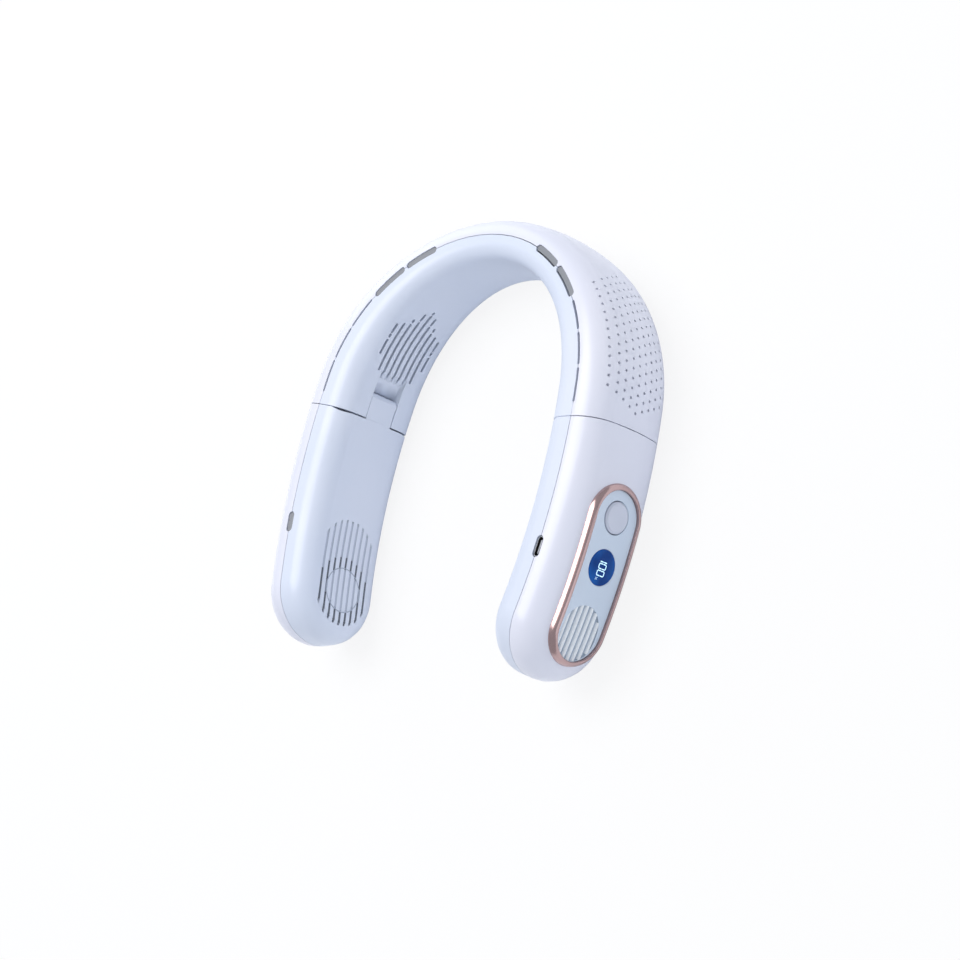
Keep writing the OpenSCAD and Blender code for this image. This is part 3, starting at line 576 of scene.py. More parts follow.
class Look(Enum):
    """Every finish on the fan, by the piece that wears it."""

    OUTER_SHELL = Finish(
        "pearl_shell", (236, 237, 247), (232, 234, 246), (0.29, 0.37), coat=0.25,
        coat_roughness=0.12,
    )
    # Same plastic as the outer shells, tinted darker and bluer: painted shade on the inner faces.
    INNER_SHELL = Finish(
        "pale_shell_painted_shade", (226, 232, 245), (220, 228, 243), (0.30, 0.40), coat=0.15, coat_roughness=0.2
    )
    # Darker than the inner shell: painted shade in the shallow grooves.
    GROOVE_BED = Finish(
        "groove_bed_painted_shade", (192, 199, 216), (185, 193, 211), (0.45, 0.55), grain_strength=0.2
    )
    # A dark sheet laid in the slots, where there is only shade: painted shade.
    SLOT_GAUZE = Finish(
        "slot_painted_shade", (104, 110, 122), (94, 100, 112), (0.6, 0.72), grain_strength=0.5
    )
    DISC_LINE = Finish(
        "disc_line", (176, 185, 202), (168, 178, 196), (0.45, 0.55), grain_strength=0.2
    )
    GREY_INSERT = Finish(
        "grey_insert", (150, 152, 156), (138, 141, 146), (0.45, 0.55), grain_strength=0.3
    )
    FAN_HOUSING = Finish(
        "housing_grey", (96, 106, 120), (84, 94, 108), (0.5, 0.6), grain_strength=0.3
    )
    IMPELLER = Finish(
        "impeller_grey", (120, 130, 145), (108, 118, 134), (0.4, 0.5), grain_strength=0.2
    )
    WINDING = Finish(
        "enamelled_copper", (196, 116, 62), (170, 92, 48), (0.29, 0.4), metallic=0.9, brushed=True,
        grain_strength=0.4,
    )
    STEEL = Finish(
        "turned_steel", (196, 198, 202), (178, 181, 186), (0.28, 0.36), metallic=1.0, brushed=True,
        grain_strength=0.25,
    )
    CELL_WRAP = Finish(
        "cell_wrap", (70, 122, 190), (58, 108, 176), (0.35, 0.5), coat=0.3, grain_strength=0.3
    )
    # Its edges turn a paler rose: wear, and a painted edge highlight.
    ROSE_TRIM = Finish(
        "rose_gold", (212, 183, 179), (186, 157, 155), (0.2, 0.265), metallic=1.0, brushed=True,
        grain_scale=900.0, grain_strength=0.06, worn=(214, 196, 192),
    )
    PANEL = Finish(
        "panel_satin", (217, 229, 242), (211, 224, 239), (0.42, 0.5), grain_strength=0.25
    )
    BUTTON = Finish(
        "button_satin", (216, 220, 232), (210, 215, 229), (0.34, 0.42), grain_strength=0.2
    )
    # Whiter than the panel the ribs belong to: a painted highlight on the ribs.
    RIB = Finish("rib_satin_painted_highlight", (250, 252, 254), (246, 250, 253), (0.3, 0.38), grain_strength=0.2)
    # Darker than the panel: painted shade on the floor of the sunk rib field.
    GROOVE = Finish(
        "groove_satin_painted_shade", (178, 191, 205), (171, 184, 199), (0.5, 0.6), grain_strength=0.3
    )
    BLACK_PLASTIC = Finish(
        "black_plastic", (34, 35, 38), (26, 27, 30), (0.45, 0.6), grain_strength=0.4
    )
    # The glass glows blue though only the figures are lit: a painted glow; its edges turn deep navy.
    DISPLAY_GLASS = Finish(
        "display_glass", (14, 80, 152), (5, 46, 106), (0.12, 0.18), drift_scale=110.0,
        grain_strength=0.02, glow=0.45, specular=0.15, worn=(10, 30, 70),
    )
    FIGURES = Finish(
        "lit_figures", (206, 240, 252), (186, 232, 250), (0.4, 0.5), glow=0.8, grain_strength=0.02
    )
    SOCKET_METAL = Finish(
        "socket_steel", (170, 173, 178), (150, 154, 160), (0.28, 0.4), metallic=1.0, brushed=True,
        grain_strength=0.2,
    )
    GOLD_CONTACT = Finish(
        "gold_contact", (232, 190, 104), (214, 170, 84), (0.2, 0.265), metallic=1.0,
        grain_strength=0.1,
    )
    CIRCUIT_BOARD = Finish(
        "solder_mask", (28, 96, 62), (20, 78, 50), (0.3, 0.45), coat=0.4, drift_scale=220.0,
        grain_strength=0.3,
    )


class Wardrobe:
    """Makes each finish's material once and puts it on pieces."""

    def __init__(self) -> None:
        """Builds the shared effects; materials follow when they are asked for."""
        self.effects = Effects()
        self.made: dict[Look, bpy.types.Material] = {}

    def material(self, look: Look) -> bpy.types.Material:
        """The material of a finish, built on first use.

        Args:
            look: The finish.

        Returns:
            Its material.
        """
        if look not in self.made:
            self.made[look] = look.value.build(self.effects)
        return self.made[look]

    def dress(self, piece: bpy.types.Object, look: Look) -> None:
        """Puts one finish on the whole piece."""
        piece.data.materials.clear()
        piece.data.materials.append(self.material(look))


# Building pieces


def placed(name: str, data: bpy.types.ID) -> bpy.types.Object:
    """Puts an object with its data into the scene, at the origin.

    Args:
        name: Name of the object.
        data: Its mesh, lamp or camera.

    Returns:
        The object.
    """
    made = bpy.data.objects.new(name, data)
    bpy.context.scene.collection.objects.link(made)
    return made


def new_piece(name: str, vertices: list, faces: list) -> bpy.types.Object:
    """Makes a mesh object whose place is in its mesh.

    Args:
        name: Name of the piece.
        vertices: Points in the shared frame.
        faces: Corner numbers of each face, turning so that it points outwards.

    Returns:
        The object, linked into the scene.
    """
    mesh = bpy.data.meshes.new(name)
    mesh.from_pydata([tuple(v) for v in vertices], [], faces)
    mesh.validate()
    return placed(name, mesh)


def close_up(piece: bpy.types.Object, sharp_angle: float) -> None:
    """Merges doubles, turns the faces outwards and smooths the shading.

    Args:
        piece: A closed mesh object.
        sharp_angle: Edges that turn more than this stay sharp, in degrees.
    """
    work = bmesh.new()
    work.from_mesh(piece.data)
    bmesh.ops.remove_doubles(work, verts=work.verts, dist=DOUBLES)
    bmesh.ops.recalc_face_normals(work, faces=work.faces)
    work.to_mesh(piece.data)
    work.free()
    piece.data.shade_smooth()
    piece.data.set_sharp_from_angle(angle=math.radians(sharp_angle))


def numbers(rows: bpy.types.bpy_prop_collection, name: str, width: int, kind: type = float) -> np.ndarray:
    """Reads one property of a mesh's rows into an array, a row for each where it is wide.

    Args:
        rows: The rows.
        name: Name of the property.
        width: How many numbers it has.
        kind: Type of a number.

    Returns:
        The numbers.
    """
    flat = np.empty(len(rows) * width, kind)
    rows.foreach_get(name, flat)
    return flat.reshape(-1, width) if width > 1 else flat


@dataclass(frozen=True)
class ShellSkin:
    """Gives a shell's node smooth shading where it lies on the band's skin."""

    node: str
    body: str
    look: Look
    near: float = 0.25 * MM
    alike: float = 0.94
    longest: float = 2.2 * MM
    passes: int = 5
    sharp_angle: float = 32

    def build(self, wardrobe: Wardrobe) -> bpy.types.Object:
        """Copies the node's mesh, joins it and sets its normals.

        Args:
            wardrobe: Where the finishes are.

        Returns:
            The piece that stands for the node.
        """
        source = frame["nodes"][self.node]
        mesh = source.data.copy()
        mesh.name = self.node + "_skin"
        piece = placed(mesh.name, mesh)
        work = bmesh.new()
        work.from_mesh(mesh)
        bmesh.ops.remove_doubles(work, verts=work.verts, dist=DOUBLES)
        self.refine(work)
        work.to_mesh(mesh)
        work.free()
        mesh.shade_smooth()
        mesh.set_sharp_from_angle(angle=math.radians(self.sharp_angle))
        self.set_normals(mesh)
        wardrobe.dress(piece, self.look)
        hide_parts(self.node)
        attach(piece, self.body)
        slot_of(self.node)
        return piece

    def on_skin(self, centres: np.ndarray, normals: np.ndarray) -> np.ndarray:
        """Tells which faces lie on the band's skin and look the same way as it does."""
        near = np.abs(BAND.skin_distance(centres)) < self.near
        return near & ((normals * BAND.skin_normals(centres)).sum(1) > self.alike)

    def refine(self, work: bmesh.types.BMesh) -> None:
        """Splits long edges on the skin and lays the new points on the band's curves.

        Args:
            work: The joined copy of the node's mesh.
        """
        work.faces.index_update()
        work.normal_update()
        for _ in range(self.passes):
            on_skin = self.on_skin(
                np.array([face.calc_center_median() for face in work.faces]),
                np.array([face.normal for face in work.faces]),
            )
            long = [
                edge for edge in work.edges
                if edge.calc_length() > self.longest and len(edge.link_faces) == 2
                and all(on_skin[face.index] for face in edge.link_faces)
            ]
            if not long:
                break
            split = bmesh.ops.subdivide_edges(work, edges=long, cuts=1, use_grid_fill=False)
            fresh = [made for made in split["geom_inner"] if isinstance(made, bmesh.types.BMVert)]
            points = np.array([vertex.co for vertex in fresh])
            gaps = BAND.skin_distance(points)
            moved = points - gaps[:, None] * BAND.skin_normals(points)
            for vertex, point, gap in zip(fresh, moved, gaps):
                if abs(gap) < self.near:
                    vertex.co = point
            bmesh.ops.triangulate(work, faces=[face for face in work.faces if len(face.verts) > 3])
            work.faces.index_update()
            work.normal_update()

    def set_normals(self, mesh: bpy.types.Mesh) -> None:
        """Takes the normals of faces on the skin from the band itself.

        Args:
            mesh: The copied mesh.
        """
        points = numbers(mesh.vertices, "co", 3)
        corners = numbers(mesh.loops, "vertex_index", 1, np.int64)
        starts = numbers(mesh.polygons, "loop_start", 1, np.int64)
        flat = numbers(mesh.polygons, "normal", 3)
        normals = numbers(mesh.corner_normals, "vector", 3)
        owner = np.repeat(np.arange(len(starts)), np.diff(np.append(starts, len(corners))))
        centres = np.zeros((len(starts), 3))
        np.add.at(centres, owner, points[corners])
        centres /= np.bincount(owner)[:, None]
        smooth = BAND.skin_normals(points)
        near = np.abs(BAND.skin_distance(points)) < self.near
        chosen = self.on_skin(centres, flat)[owner] & near[corners]
        normals[chosen] = smooth[corners[chosen]]
        mesh.normals_split_custom_set(normals.tolist())


def slot_of(node: str) -> str:
    """The record's material slot of a node."""
    return next(s["material_slot"] for s in frame["record"]["subparts"] if s["node"] == node)


# Sub-assemblies


@dataclass
class Shells:
    """The six moulded shells of the back and the arms."""

    bodies: tuple[str, ...] = ("back", "left_arm", "right_arm")

    def build(self, wardrobe: Wardrobe) -> list[bpy.types.Object]:
        """Skins both shells of each body.

        Args:
            wardrobe: Where the finishes are.

        Returns:
            The six skins.
        """
        made = []
        for body in self.bodies:
            made.append(ShellSkin(body + "_outer_shell", body, Look.OUTER_SHELL).build(wardrobe))
            made.append(ShellSkin(body + "_inner_shell", body, Look.INNER_SHELL).build(wardrobe))
        return made


@dataclass(frozen=True)
class Track:
    """A round-ended outline on the arm's outer face: a circle where it has no stretch."""

    at_s: float
    stretch: float
    r: float
    round_steps: int = 40
    straight_steps: int = 0

    def grown(self, by: float) -> "Track":
        """The same outline, wider all round."""
        return replace(self, r=self.r + by)

    def outline(self) -> list[tuple[float, float, float, float]]:
        """Gives along, up and the outward direction of each point.

        Returns:
            One row a point, in order round the outline.
        """
        rows, half = [], self.stretch / 2
        for end in (1, -1):
            for i in range(self.round_steps):
                t = math.pi * (0.5 - i / self.round_steps)
                turn = (end * math.cos(t), end * math.sin(t))
                rows.append((end * half + self.r * turn[0], self.r * turn[1], *turn))
            for i in range(self.straight_steps):
                along = end * half * (1 - 2 * i / self.straight_steps)
                rows.append((along, -end * self.r, 0.0, -float(end)))
        return rows

    def ring(self, a: float) -> list[Point]:
        """Places the outline at a level of the arm."""
        return [BAND.on_arm(self.at_s, x, a, z) for x, z, _, _ in self.outline()]

    def unrolled(self, a: float) -> list[Vector]:
        """Gives the outline's places along the band and up, at a level.

        Args:
            a: The level.

        Returns:
            One place a point.
        """
        return [
            Vector((self.at_s + BAND.arm_r * math.asin(x / (BAND.arm_r + a)), z))
            for x, z, _, _ in self.outline()
        ]

    def outside(self, place: Vector, a: float) -> float:
        """Distance of an unrolled place outside the outline, negative inside."""
        x = (BAND.arm_r + a) * math.sin((place.x - self.at_s) / BAND.arm_r)
        return math.hypot(max(abs(x) - self.stretch / 2, 0), place.y) - self.r


class Patchwork:
    """Points and faces of a piece that is made of covers and walls."""

    def __init__(self) -> None:
        """Starts with nothing."""
        self.vertices: list[Point] = []
        self.faces: list[tuple[int, ...]] = []

    def cover(self, outer: Track, holes: list[Track], a: float, spacing: float) -> None:
        """Adds a curved face with holes, at one level of the arm.

        Args:
            outer: Its outline.
            holes: Outlines that it leaves open.
            a: Its level.
            spacing: Distance between its inner points.
        """
        spots, edges = [], []
        for track in (outer, *holes):
            base, loop = len(spots), track.unrolled(a)
            spots += loop
            edges += [(base + j, base + (j + 1) % len(loop)) for j in range(len(loop))]
        reach = outer.stretch / 2 + outer.r
        for i in range(-int(reach / spacing), int(reach / spacing) + 1):
            for j in range(-int(outer.r / spacing), int(outer.r / spacing) + 1):
                spot = Vector((outer.at_s + i * spacing, j * spacing))
                if outer.outside(spot, a) < -spacing / 2 and all(
                    hole.outside(spot, a) > spacing / 2 for hole in holes
                ):
                    spots.append(spot)
        places, _, triangles, *_ = delaunay_2d_cdt(spots, edges, [], 0, 1e-9)
        base = len(self.vertices)
        self.vertices += [tuple(BAND.axes(p.x) @ Vector((0, a, p.y))) for p in places]
        for corners in triangles:
            middle = sum((places[c] for c in corners), Vector((0, 0))) / len(corners)
            if outer.outside(middle, a) < 0 and all(h.outside(middle, a) > 0 for h in holes):
                self.faces.append(tuple(base + c for c in corners))

    def loft(self, rings: list[list[Point]], closed: bool = False, capped: bool = True) -> None:
        """Joins rings of points into a skin.

        Args:
            rings: Rings of equal counts of points.
            closed: Whether the last ring joins the first.
            capped: Whether the open ends are filled.
        """
        base, count, rows = len(self.vertices), len(rings[0]), len(rings)
        self.vertices += [point for ring in rings for point in ring]
        for i in range(rows if closed else rows - 1):
            low, high = base + i * count, base + (i + 1) % rows * count
            for j in range(count):
                k = (j + 1) % count
                self.faces.append((low + j, low + k, high + k, high + j))
        if capped and not closed:
            self.faces.append(tuple(base + j for j in range(count - 1, -1, -1)))
            self.faces.append(tuple(base + (rows - 1) * count + j for j in range(count)))

    def wall(self, steps: list[tuple[Track, float]]) -> None:
        """Adds a wall through outlines at their levels."""
        self.loft([track.ring(a) for track, a in steps], capped=False)

    def piece(self, name: str, sharp_angle: float) -> bpy.types.Object:
        """Makes the closed object; edges that turn more than the angle stay sharp.

        Args:
            name: Name of the piece.
            sharp_angle: The angle, in degrees.

        Returns:
            The closed object.
        """
        made = new_piece(name, self.vertices, self.faces)
        close_up(made, sharp_angle)
        return made


PANEL_LEN = 48.6 * MM
PANEL_TOP_A = 15.6 * MM
PANEL_FOOT_A = 12.92 * MM
BUTTON_S = BAND.tip_s - PANEL_LEN
BUTTON_TO_WINDOW = 20.6 * MM
WINDOW_S = BUTTON_S + BUTTON_TO_WINDOW


@dataclass
class TrimBead:
    """The rounded rose bead round the control panel, with its lip on the shell."""

    track: Track = Track(BAND.tip_s - PANEL_LEN / 2, PANEL_LEN, 14.25 * MM, straight_steps=30)
    width: float = 2.6 * MM
    foot_r: float = 14.66 * MM
    foot_a: float = PANEL_FOOT_A
    top_a: float = 17.08 * MM
    bedding: float = 0.12 * MM
    crest: float = 0.55 * MM
    arch_steps: int = 9

    def build(self, wardrobe: Wardrobe) -> bpy.types.Object:
        """Sweeps the section round the track.

        Args:
            wardrobe: Where the finishes are.

        Returns:
            The bead.
        """
        half = self.width / 2
        crown = self.crest - half
        foot = self.foot_r - self.track.r
        work, rings = Patchwork(), []
        for x, z, nx, nz in self.track.outline():
            past = max(x - self.track.stretch / 2, 0)
            up = abs(z + nz * half)
            if past:
                up = math.hypot(past + max(nx, 0) * half, up)
            lip = BAND.face_level(up) - self.bedding
            section = []
            for i in range(self.arch_steps + 1):
                t = math.pi / 2 * i / self.arch_steps
                section.append((
                    crown + (half - crown) * math.cos(t), lip + (self.top_a - lip) * math.sin(t)
                ))
            for i in range(1, self.arch_steps + 1):
                t = math.pi / 2 * (1 + i / self.arch_steps)
                section.append((
                    crown + self.crest * math.cos(t), self.top_a - self.crest * (1 - math.sin(t))
                ))
            section += [(-half, self.foot_a), (foot, self.foot_a), (foot, lip)]
            rings.append([
                BAND.on_arm(self.track.at_s, x + nx * u, a, z + nz * u) for u, a in section
            ])
        work.loft(rings, closed=True)
        bead = work.piece("trim_bead", sharp_angle=50)
        wardrobe.dress(bead, Look.ROSE_TRIM)
        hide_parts("trim_ring")
        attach(bead, "right_arm")
        return bead


@dataclass
class PanelFace:
    """The panel between the bead's sides, with its openings and its sunk rib field."""

    outer: Track = Track(BAND.tip_s - PANEL_LEN / 2, PANEL_LEN, 12.9 * MM, straight_steps=30)
    button_hole: Track = Track(BUTTON_S, 0.0, 7.25 * MM)
    window_hole: Track = Track(WINDOW_S, 0.0, 7.8 * MM)
    rib_field: Track = Track(BAND.tip_s - 0.4 * MM, 2.9 * MM, 10.6 * MM, straight_steps=2)
    edge: float = 0.2 * MM
    field_d: float = 1.15 * MM
    spacing: float = 1.6 * MM

    def build(self, wardrobe: Wardrobe) -> bpy.types.Object:
        """Covers the top, the field and the underside, and joins them by walls.

        Args:
            wardrobe: Where the finishes are.

        Returns:
            The panel.
        """
        top, foot, edge, low = PANEL_TOP_A, PANEL_FOOT_A, self.edge, PANEL_TOP_A - self.field_d
        work = Patchwork()
        holes = [self.button_hole, self.window_hole]
        shrunk = self.outer.grown(-edge)
        work.cover(
            shrunk, [hole.grown(edge) for hole in (*holes, self.rib_field)], top, self.spacing
        )
        work.wall([(shrunk, top), (self.outer, top - edge), (self.outer, foot)])
        for hole in holes:
            work.wall([(hole.grown(edge), top), (hole, top - edge), (hole, foot)])
        floor = self.rib_field.grown(-2 * edge)
        work.wall([
            (self.rib_field.grown(edge), top), (self.rib_field.grown(edge / 4), top - edge / 3),
            (self.rib_field, top - edge), (self.rib_field, low + 2 * edge), (floor, low),
        ])
        work.cover(floor, [], low, self.spacing)
        work.cover(self.outer, holes, foot, self.spacing)
        panel = work.piece("panel_face", sharp_angle=40)
        wardrobe.dress(panel, Look.PANEL)
        # The sunk field's floor takes the darker groove finish as painted shade.
        panel.data.materials.append(wardrobe.material(Look.GROOVE))
        centres = np.array([face.center for face in panel.data.polygons])
        in_field = [
            self.rib_field.outside(Vector((s, z)), a) < 0 and foot + edge < a < top - 2 * edge
            for s, a, z in zip(*BAND.unrolled(centres))
        ]
        panel.data.polygons.foreach_set("material_index", [int(sunk) for sunk in in_field])
        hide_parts("control_panel")
        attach(panel, "right_arm")
        return panel


@dataclass
class Turned:
    """A piece turned about an axis that stands on the arm's centreline."""

    at_s: float
    turns: int = 96

    def build(self, name: str, profile: list[Pair]) -> bpy.types.Object:
        """Turns a profile.

        Args:
            name: Name of the piece.
            profile: Radius and level, from the underside round to the top.

        Returns:
            The closed object.
        """
        axes = BAND.axes(self.at_s)
        rings = []
        for r, a in profile:
            rings.append([
                tuple(axes @ Vector((r * math.cos(t), a, r * math.sin(t))))
                for t in (2 * math.pi * j / self.turns for j in range(self.turns))
            ])
        work = Patchwork()
        work.loft(rings)
        return work.piece(name, sharp_angle=40)


@dataclass
class PowerButton:
    """The raised button with its sloping rim, its flange and its stem."""

    radius: float = 6.8 * MM
    flange_r: float = 7.35 * MM
    stem_r: float = 1.6 * MM
    stem_a: float = 10.4 * MM
    flange_low: float = 11.7 * MM
    flange_top: float = 12.6 * MM
    top_a: float = 16.35 * MM
    slope: Pair = (0.85 * MM, 0.6 * MM)
    soft: float = 0.1 * MM
    rim_drop: float = 0.07 * MM
    dish: float = 0.12 * MM
    dish_steps: int = 12

    def profile(self) -> list[Pair]:
        """Gives radius and level along the outside, from the stem to the dish.

        Returns:
            The profile, from the underside up.
        """
        wide, high = self.slope
        rim = self.radius - wide
        rows = [
            (self.stem_r, self.stem_a),
            (self.stem_r, self.flange_low),
            (self.flange_r, self.flange_low),
            (self.flange_r, self.flange_top),
            (self.radius, self.flange_top),
            (self.radius, self.top_a - high - self.soft),
            (self.radius - self.soft, self.top_a - high),
            (rim + self.soft, self.top_a - self.rim_drop),
            (rim, self.top_a),
        ]
        for i in range(1, self.dish_steps):
            r = rim * (1 - i / self.dish_steps)
            rows.append((r, self.top_a - self.dish * (1 - (r / rim) ** 2)))
        return rows

    def build(self, wardrobe: Wardrobe) -> bpy.types.Object:
        """Turns the profile round the button's axis.

        Args:
            wardrobe: Where the finishes are.

        Returns:
            The button.
        """
        button = Turned(BUTTON_S).build("dished_button", self.profile())
        wardrobe.dress(button, Look.BUTTON)
        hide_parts("power_button")
        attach(button, "button")
        return button


@dataclass
class GuideStrip:
    """The grey strip under a wide outlet, with its land in each slot and its air gap."""

    side: int
    from_s: float = 33.0 * MM
    to_s: float = 71.0 * MM
    bridge_s: float = 51.4 * MM
    bridge_w: float = 1.3 * MM
    outlet_w: float = 3.4 * MM
    wall: float = 2.0 * MM
    seat: float = 0.3 * MM
    gap: float = 0.55 * MM
    drop: float = 0.55 * MM
    thickness: float = 1.4 * MM
    soft: float = 0.15 * MM
    least_w: float = 0.3 * MM
    steps: int = 60

    def loft(self, work: Patchwork, from_s: float, to_s: float, section: Section) -> None:
        """Adds a closed body through sections along the band.

        Args:
            work: Where the body goes.
            from_s: Its near end.
            to_s: Its far end.
            section: Gives (out, up) points at a share of the way and a place.
        """
        rings = []
        for share in (i / self.steps for i in range(self.steps + 1)):
            s = from_s + (to_s - from_s) * share
            axes = BAND.axes(s, self.side)
            rings.append([tuple(axes @ Vector((0, a, z))) for a, z in section(share, s)])
        work.loft(rings)

    def strip(self, share: float, s: float) -> list[Pair]:
        """Section of the strip under the rim.

        Args:
            share: Share of the way along the strip; the section has no use for it.
            s: Distance along the band from the middle of the back.

        Returns:
            Corners as (out, up) pairs.
        """
        shoulder = BAND.half_sizes(s)[1] - self.wall - self.seat
        low, edge = shoulder - self.thickness, shoulder - 1.5 * self.seat
        near = self.gap - self.outlet_w / 2 - self.seat / 2
        wide = self.outlet_w
        return [
            (near, low), (wide, low), (wide, edge), (self.outlet_w / 2, shoulder),
            (near, shoulder),
        ]

    def land(self, slot_len: float, share: float, s: float) -> list[Pair]:
        """Section of the land in a slot, which narrows into the slot's round ends.

        Args:
            slot_len: Length of the slot.
            share: Share of the way along the land.
            s: Distance along the band from the middle of the back.

        Returns:
            Corners as (out, up) pairs.
        """
        rise = BAND.half_sizes(s)[1]
        top, low = rise - self.drop, rise - self.wall - 2 * self.seat
        round_r = self.outlet_w / 2 - self.seat / 2
        length = slot_len - 2 * self.seat
        past = max(round_r - min(share, 1 - share) * length, 0)
        far = math.sqrt(max(round_r**2 - past**2, self.least_w**2))
        near, soft = -min(far, self.outlet_w / 2 - self.gap), self.soft
        return [
            (near, low), (far, low), (far, top - soft), (far - soft, top), (near + soft, top),
            (near, top - soft),
        ]

    def build(self, wardrobe: Wardrobe) -> bpy.types.Object:
        """Lofts the strip and its two lands.

        Args:
            wardrobe: Where the finishes are.

        Returns:
            The strip with its lands.
        """
        label = "right" if self.side > 0 else "left"
        half = self.bridge_w / 2
        work = Patchwork()
        self.loft(work, self.from_s, self.to_s, self.strip)
        for from_s, to_s in (
            (self.from_s - self.seat, self.bridge_s - half),
            (self.bridge_s + half, self.to_s + self.seat),
        ):
            land = partial(self.land, to_s - from_s)
            self.loft(work, from_s + self.seat, to_s - self.seat, land)
        strip = work.piece(f"{label}_guide", sharp_angle=35)
        wardrobe.dress(strip, Look.GREY_INSERT)
        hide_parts(f"{label}_outlet_strip")
        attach(strip, "back")
        return strip


@dataclass
class GrooveBeds:
    """The pale beds of an arm's shallow intake grooves, tinted darker than the shell as painted shade,
    and the line round the closed disc.
    """

    side: int
    pitch: float = 3.43 * MM
    rows: int = 4
    width: float = 1.24 * MM
    field_r: float = 16.4 * MM
    field_len: float = 16.9 * MM
    disc_r: float = 10.2 * MM
    face_a: float = 15.5 * MM
    depth: float = 0.22 * MM
    # Depth of the dark sheets of painted shade in the slots.
    gauze_depth: float = 0.36 * MM
    hollow: float = 0.04 * MM
    foot: float = 0.56 * MM
    play: float = 0.15 * MM
    disc_play: float = 0.2 * MM
    line_w: float = 0.5 * MM
    line_d: float = 0.15 * MM
    line_rise: float = 0.02 * MM
    line_steps: int = 96
    steps: int = 12

    def bed(self, work: Patchwork, from_s: float, to_s: float, z: float, depth: float) -> None:
        """Adds one bed between two places along the band, its top at a depth under the face.

        Args:
            work: Where the bed goes.
            from_s: Its near end.
            to_s: Its far end.
            z: Its height over the mid plane.
            depth: Depth of its top.
        """
        half, rings = self.width / 2, []
        section = (
            (depth, -half), (depth + self.hollow, 0), (depth, half), (self.foot, half),
            (self.foot, -half),
        )
        for i in range(self.steps + 1):
            axes = BAND.axes(from_s + (to_s - from_s) * i / self.steps, self.side)
            rings.append([tuple(axes @ Vector((0, a - self.face_a, z + up))) for a, up in section])
        work.loft(rings)

    def gauze(self, slot_shades: Patchwork, z: float, reach: float) -> None:
        """Lays a dark sheet of painted shade in one row's slot, on both sides of the disc.

        Args:
            slot_shades: Where the dark sheets go.
            z: Height of the row over the mid plane.
            reach: Its half length.
        """
        tip, outside = BAND.tip_s, abs(z) - self.width / 2
        if outside < self.disc_r:
            inner = math.sqrt(self.disc_r**2 - outside**2) + self.play
            self.bed(slot_shades, tip - reach, tip - inner, z, self.gauze_depth)
            self.bed(slot_shades, tip + inner, tip + reach, z, self.gauze_depth)
        else:
            self.bed(slot_shades, tip - reach, tip + reach, z, self.gauze_depth)

    def disc_line(self, work: Patchwork) -> None:
        """Sweeps the thin line round the closed disc.

        Args:
            work: Where the line goes.
        """
        axes, half, rings = BAND.axes(BAND.tip_s, self.side), self.line_w / 2, []
        low, top = self.line_d, -self.line_rise
        for t in (2 * math.pi * i / self.line_steps for i in range(self.line_steps)):
            ring = []
            for r, a in ((-half, low), (half, low), (half, top), (-half, top)):
                x, z = (self.disc_r + r) * math.cos(t), (self.disc_r + r) * math.sin(t)
                out = math.sqrt((BAND.arm_r - self.face_a) ** 2 - x**2) - BAND.arm_r
                ring.append(tuple(axes @ Vector((x, out + a, z))))
            rings.append(ring)
        work.loft(rings, closed=True)

    def build(self, wardrobe: Wardrobe) -> list[bpy.types.Object]:
        """Lays the beds above the slots and on the disc, the dark sheets of painted shade in the slots
        and the disc's line.

        Args:
            wardrobe: Where the finishes are.

        Returns:
            The dark slot sheets, the beds and the line.
        """
        beds, slot_shades, line, tip = Patchwork(), Patchwork(), Patchwork(), BAND.tip_s
        for row in range(-self.rows, self.rows + 1):
            z = row * self.pitch
            edge = abs(z) + self.width / 2
            if abs(z) < self.disc_r - self.width:
                reach = math.sqrt(self.disc_r**2 - edge**2) - self.disc_play
                self.bed(beds, tip - reach, tip + reach, z, self.depth)
            if edge < self.field_r:
                reach = math.sqrt(self.field_r**2 - edge**2)
                self.bed(beds, tip - self.field_len - reach, tip - reach, z, self.depth)
                self.gauze(slot_shades, z, reach - self.play)
        self.disc_line(line)
        label = "right" if self.side > 0 else "left"
        made = []
        for work, name, look in (
            (slot_shades, "slot_painted_shade", Look.SLOT_GAUZE), (beds, "groove_beds", Look.GROOVE_BED),
            (line, "disc_line", Look.DISC_LINE),
        ):
            piece = work.piece(f"{label}_{name}", sharp_angle=30)
            wardrobe.dress(piece, look)
            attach(piece, f"{label}_arm")
            made.append(piece)
        return made


class Segment(Enum):
    """The seven bars of a figure: middle (x, y) and whether it lies flat."""

    TOP = (0.0, 1.0, True)
    UPPER_LEFT = (-0.5, 0.5, False)
    UPPER_RIGHT = (0.5, 0.5, False)
    MIDDLE = (0.0, 0.0, True)
    LOWER_LEFT = (-0.5, -0.5, False)
    LOWER_RIGHT = (0.5, -0.5, False)
    BOTTOM = (0.0, -1.0, True)


FIGURE_BARS = {
    "1": (Segment.UPPER_RIGHT, Segment.LOWER_RIGHT),
    "0": tuple(bar for bar in Segment if bar is not Segment.MIDDLE),
}


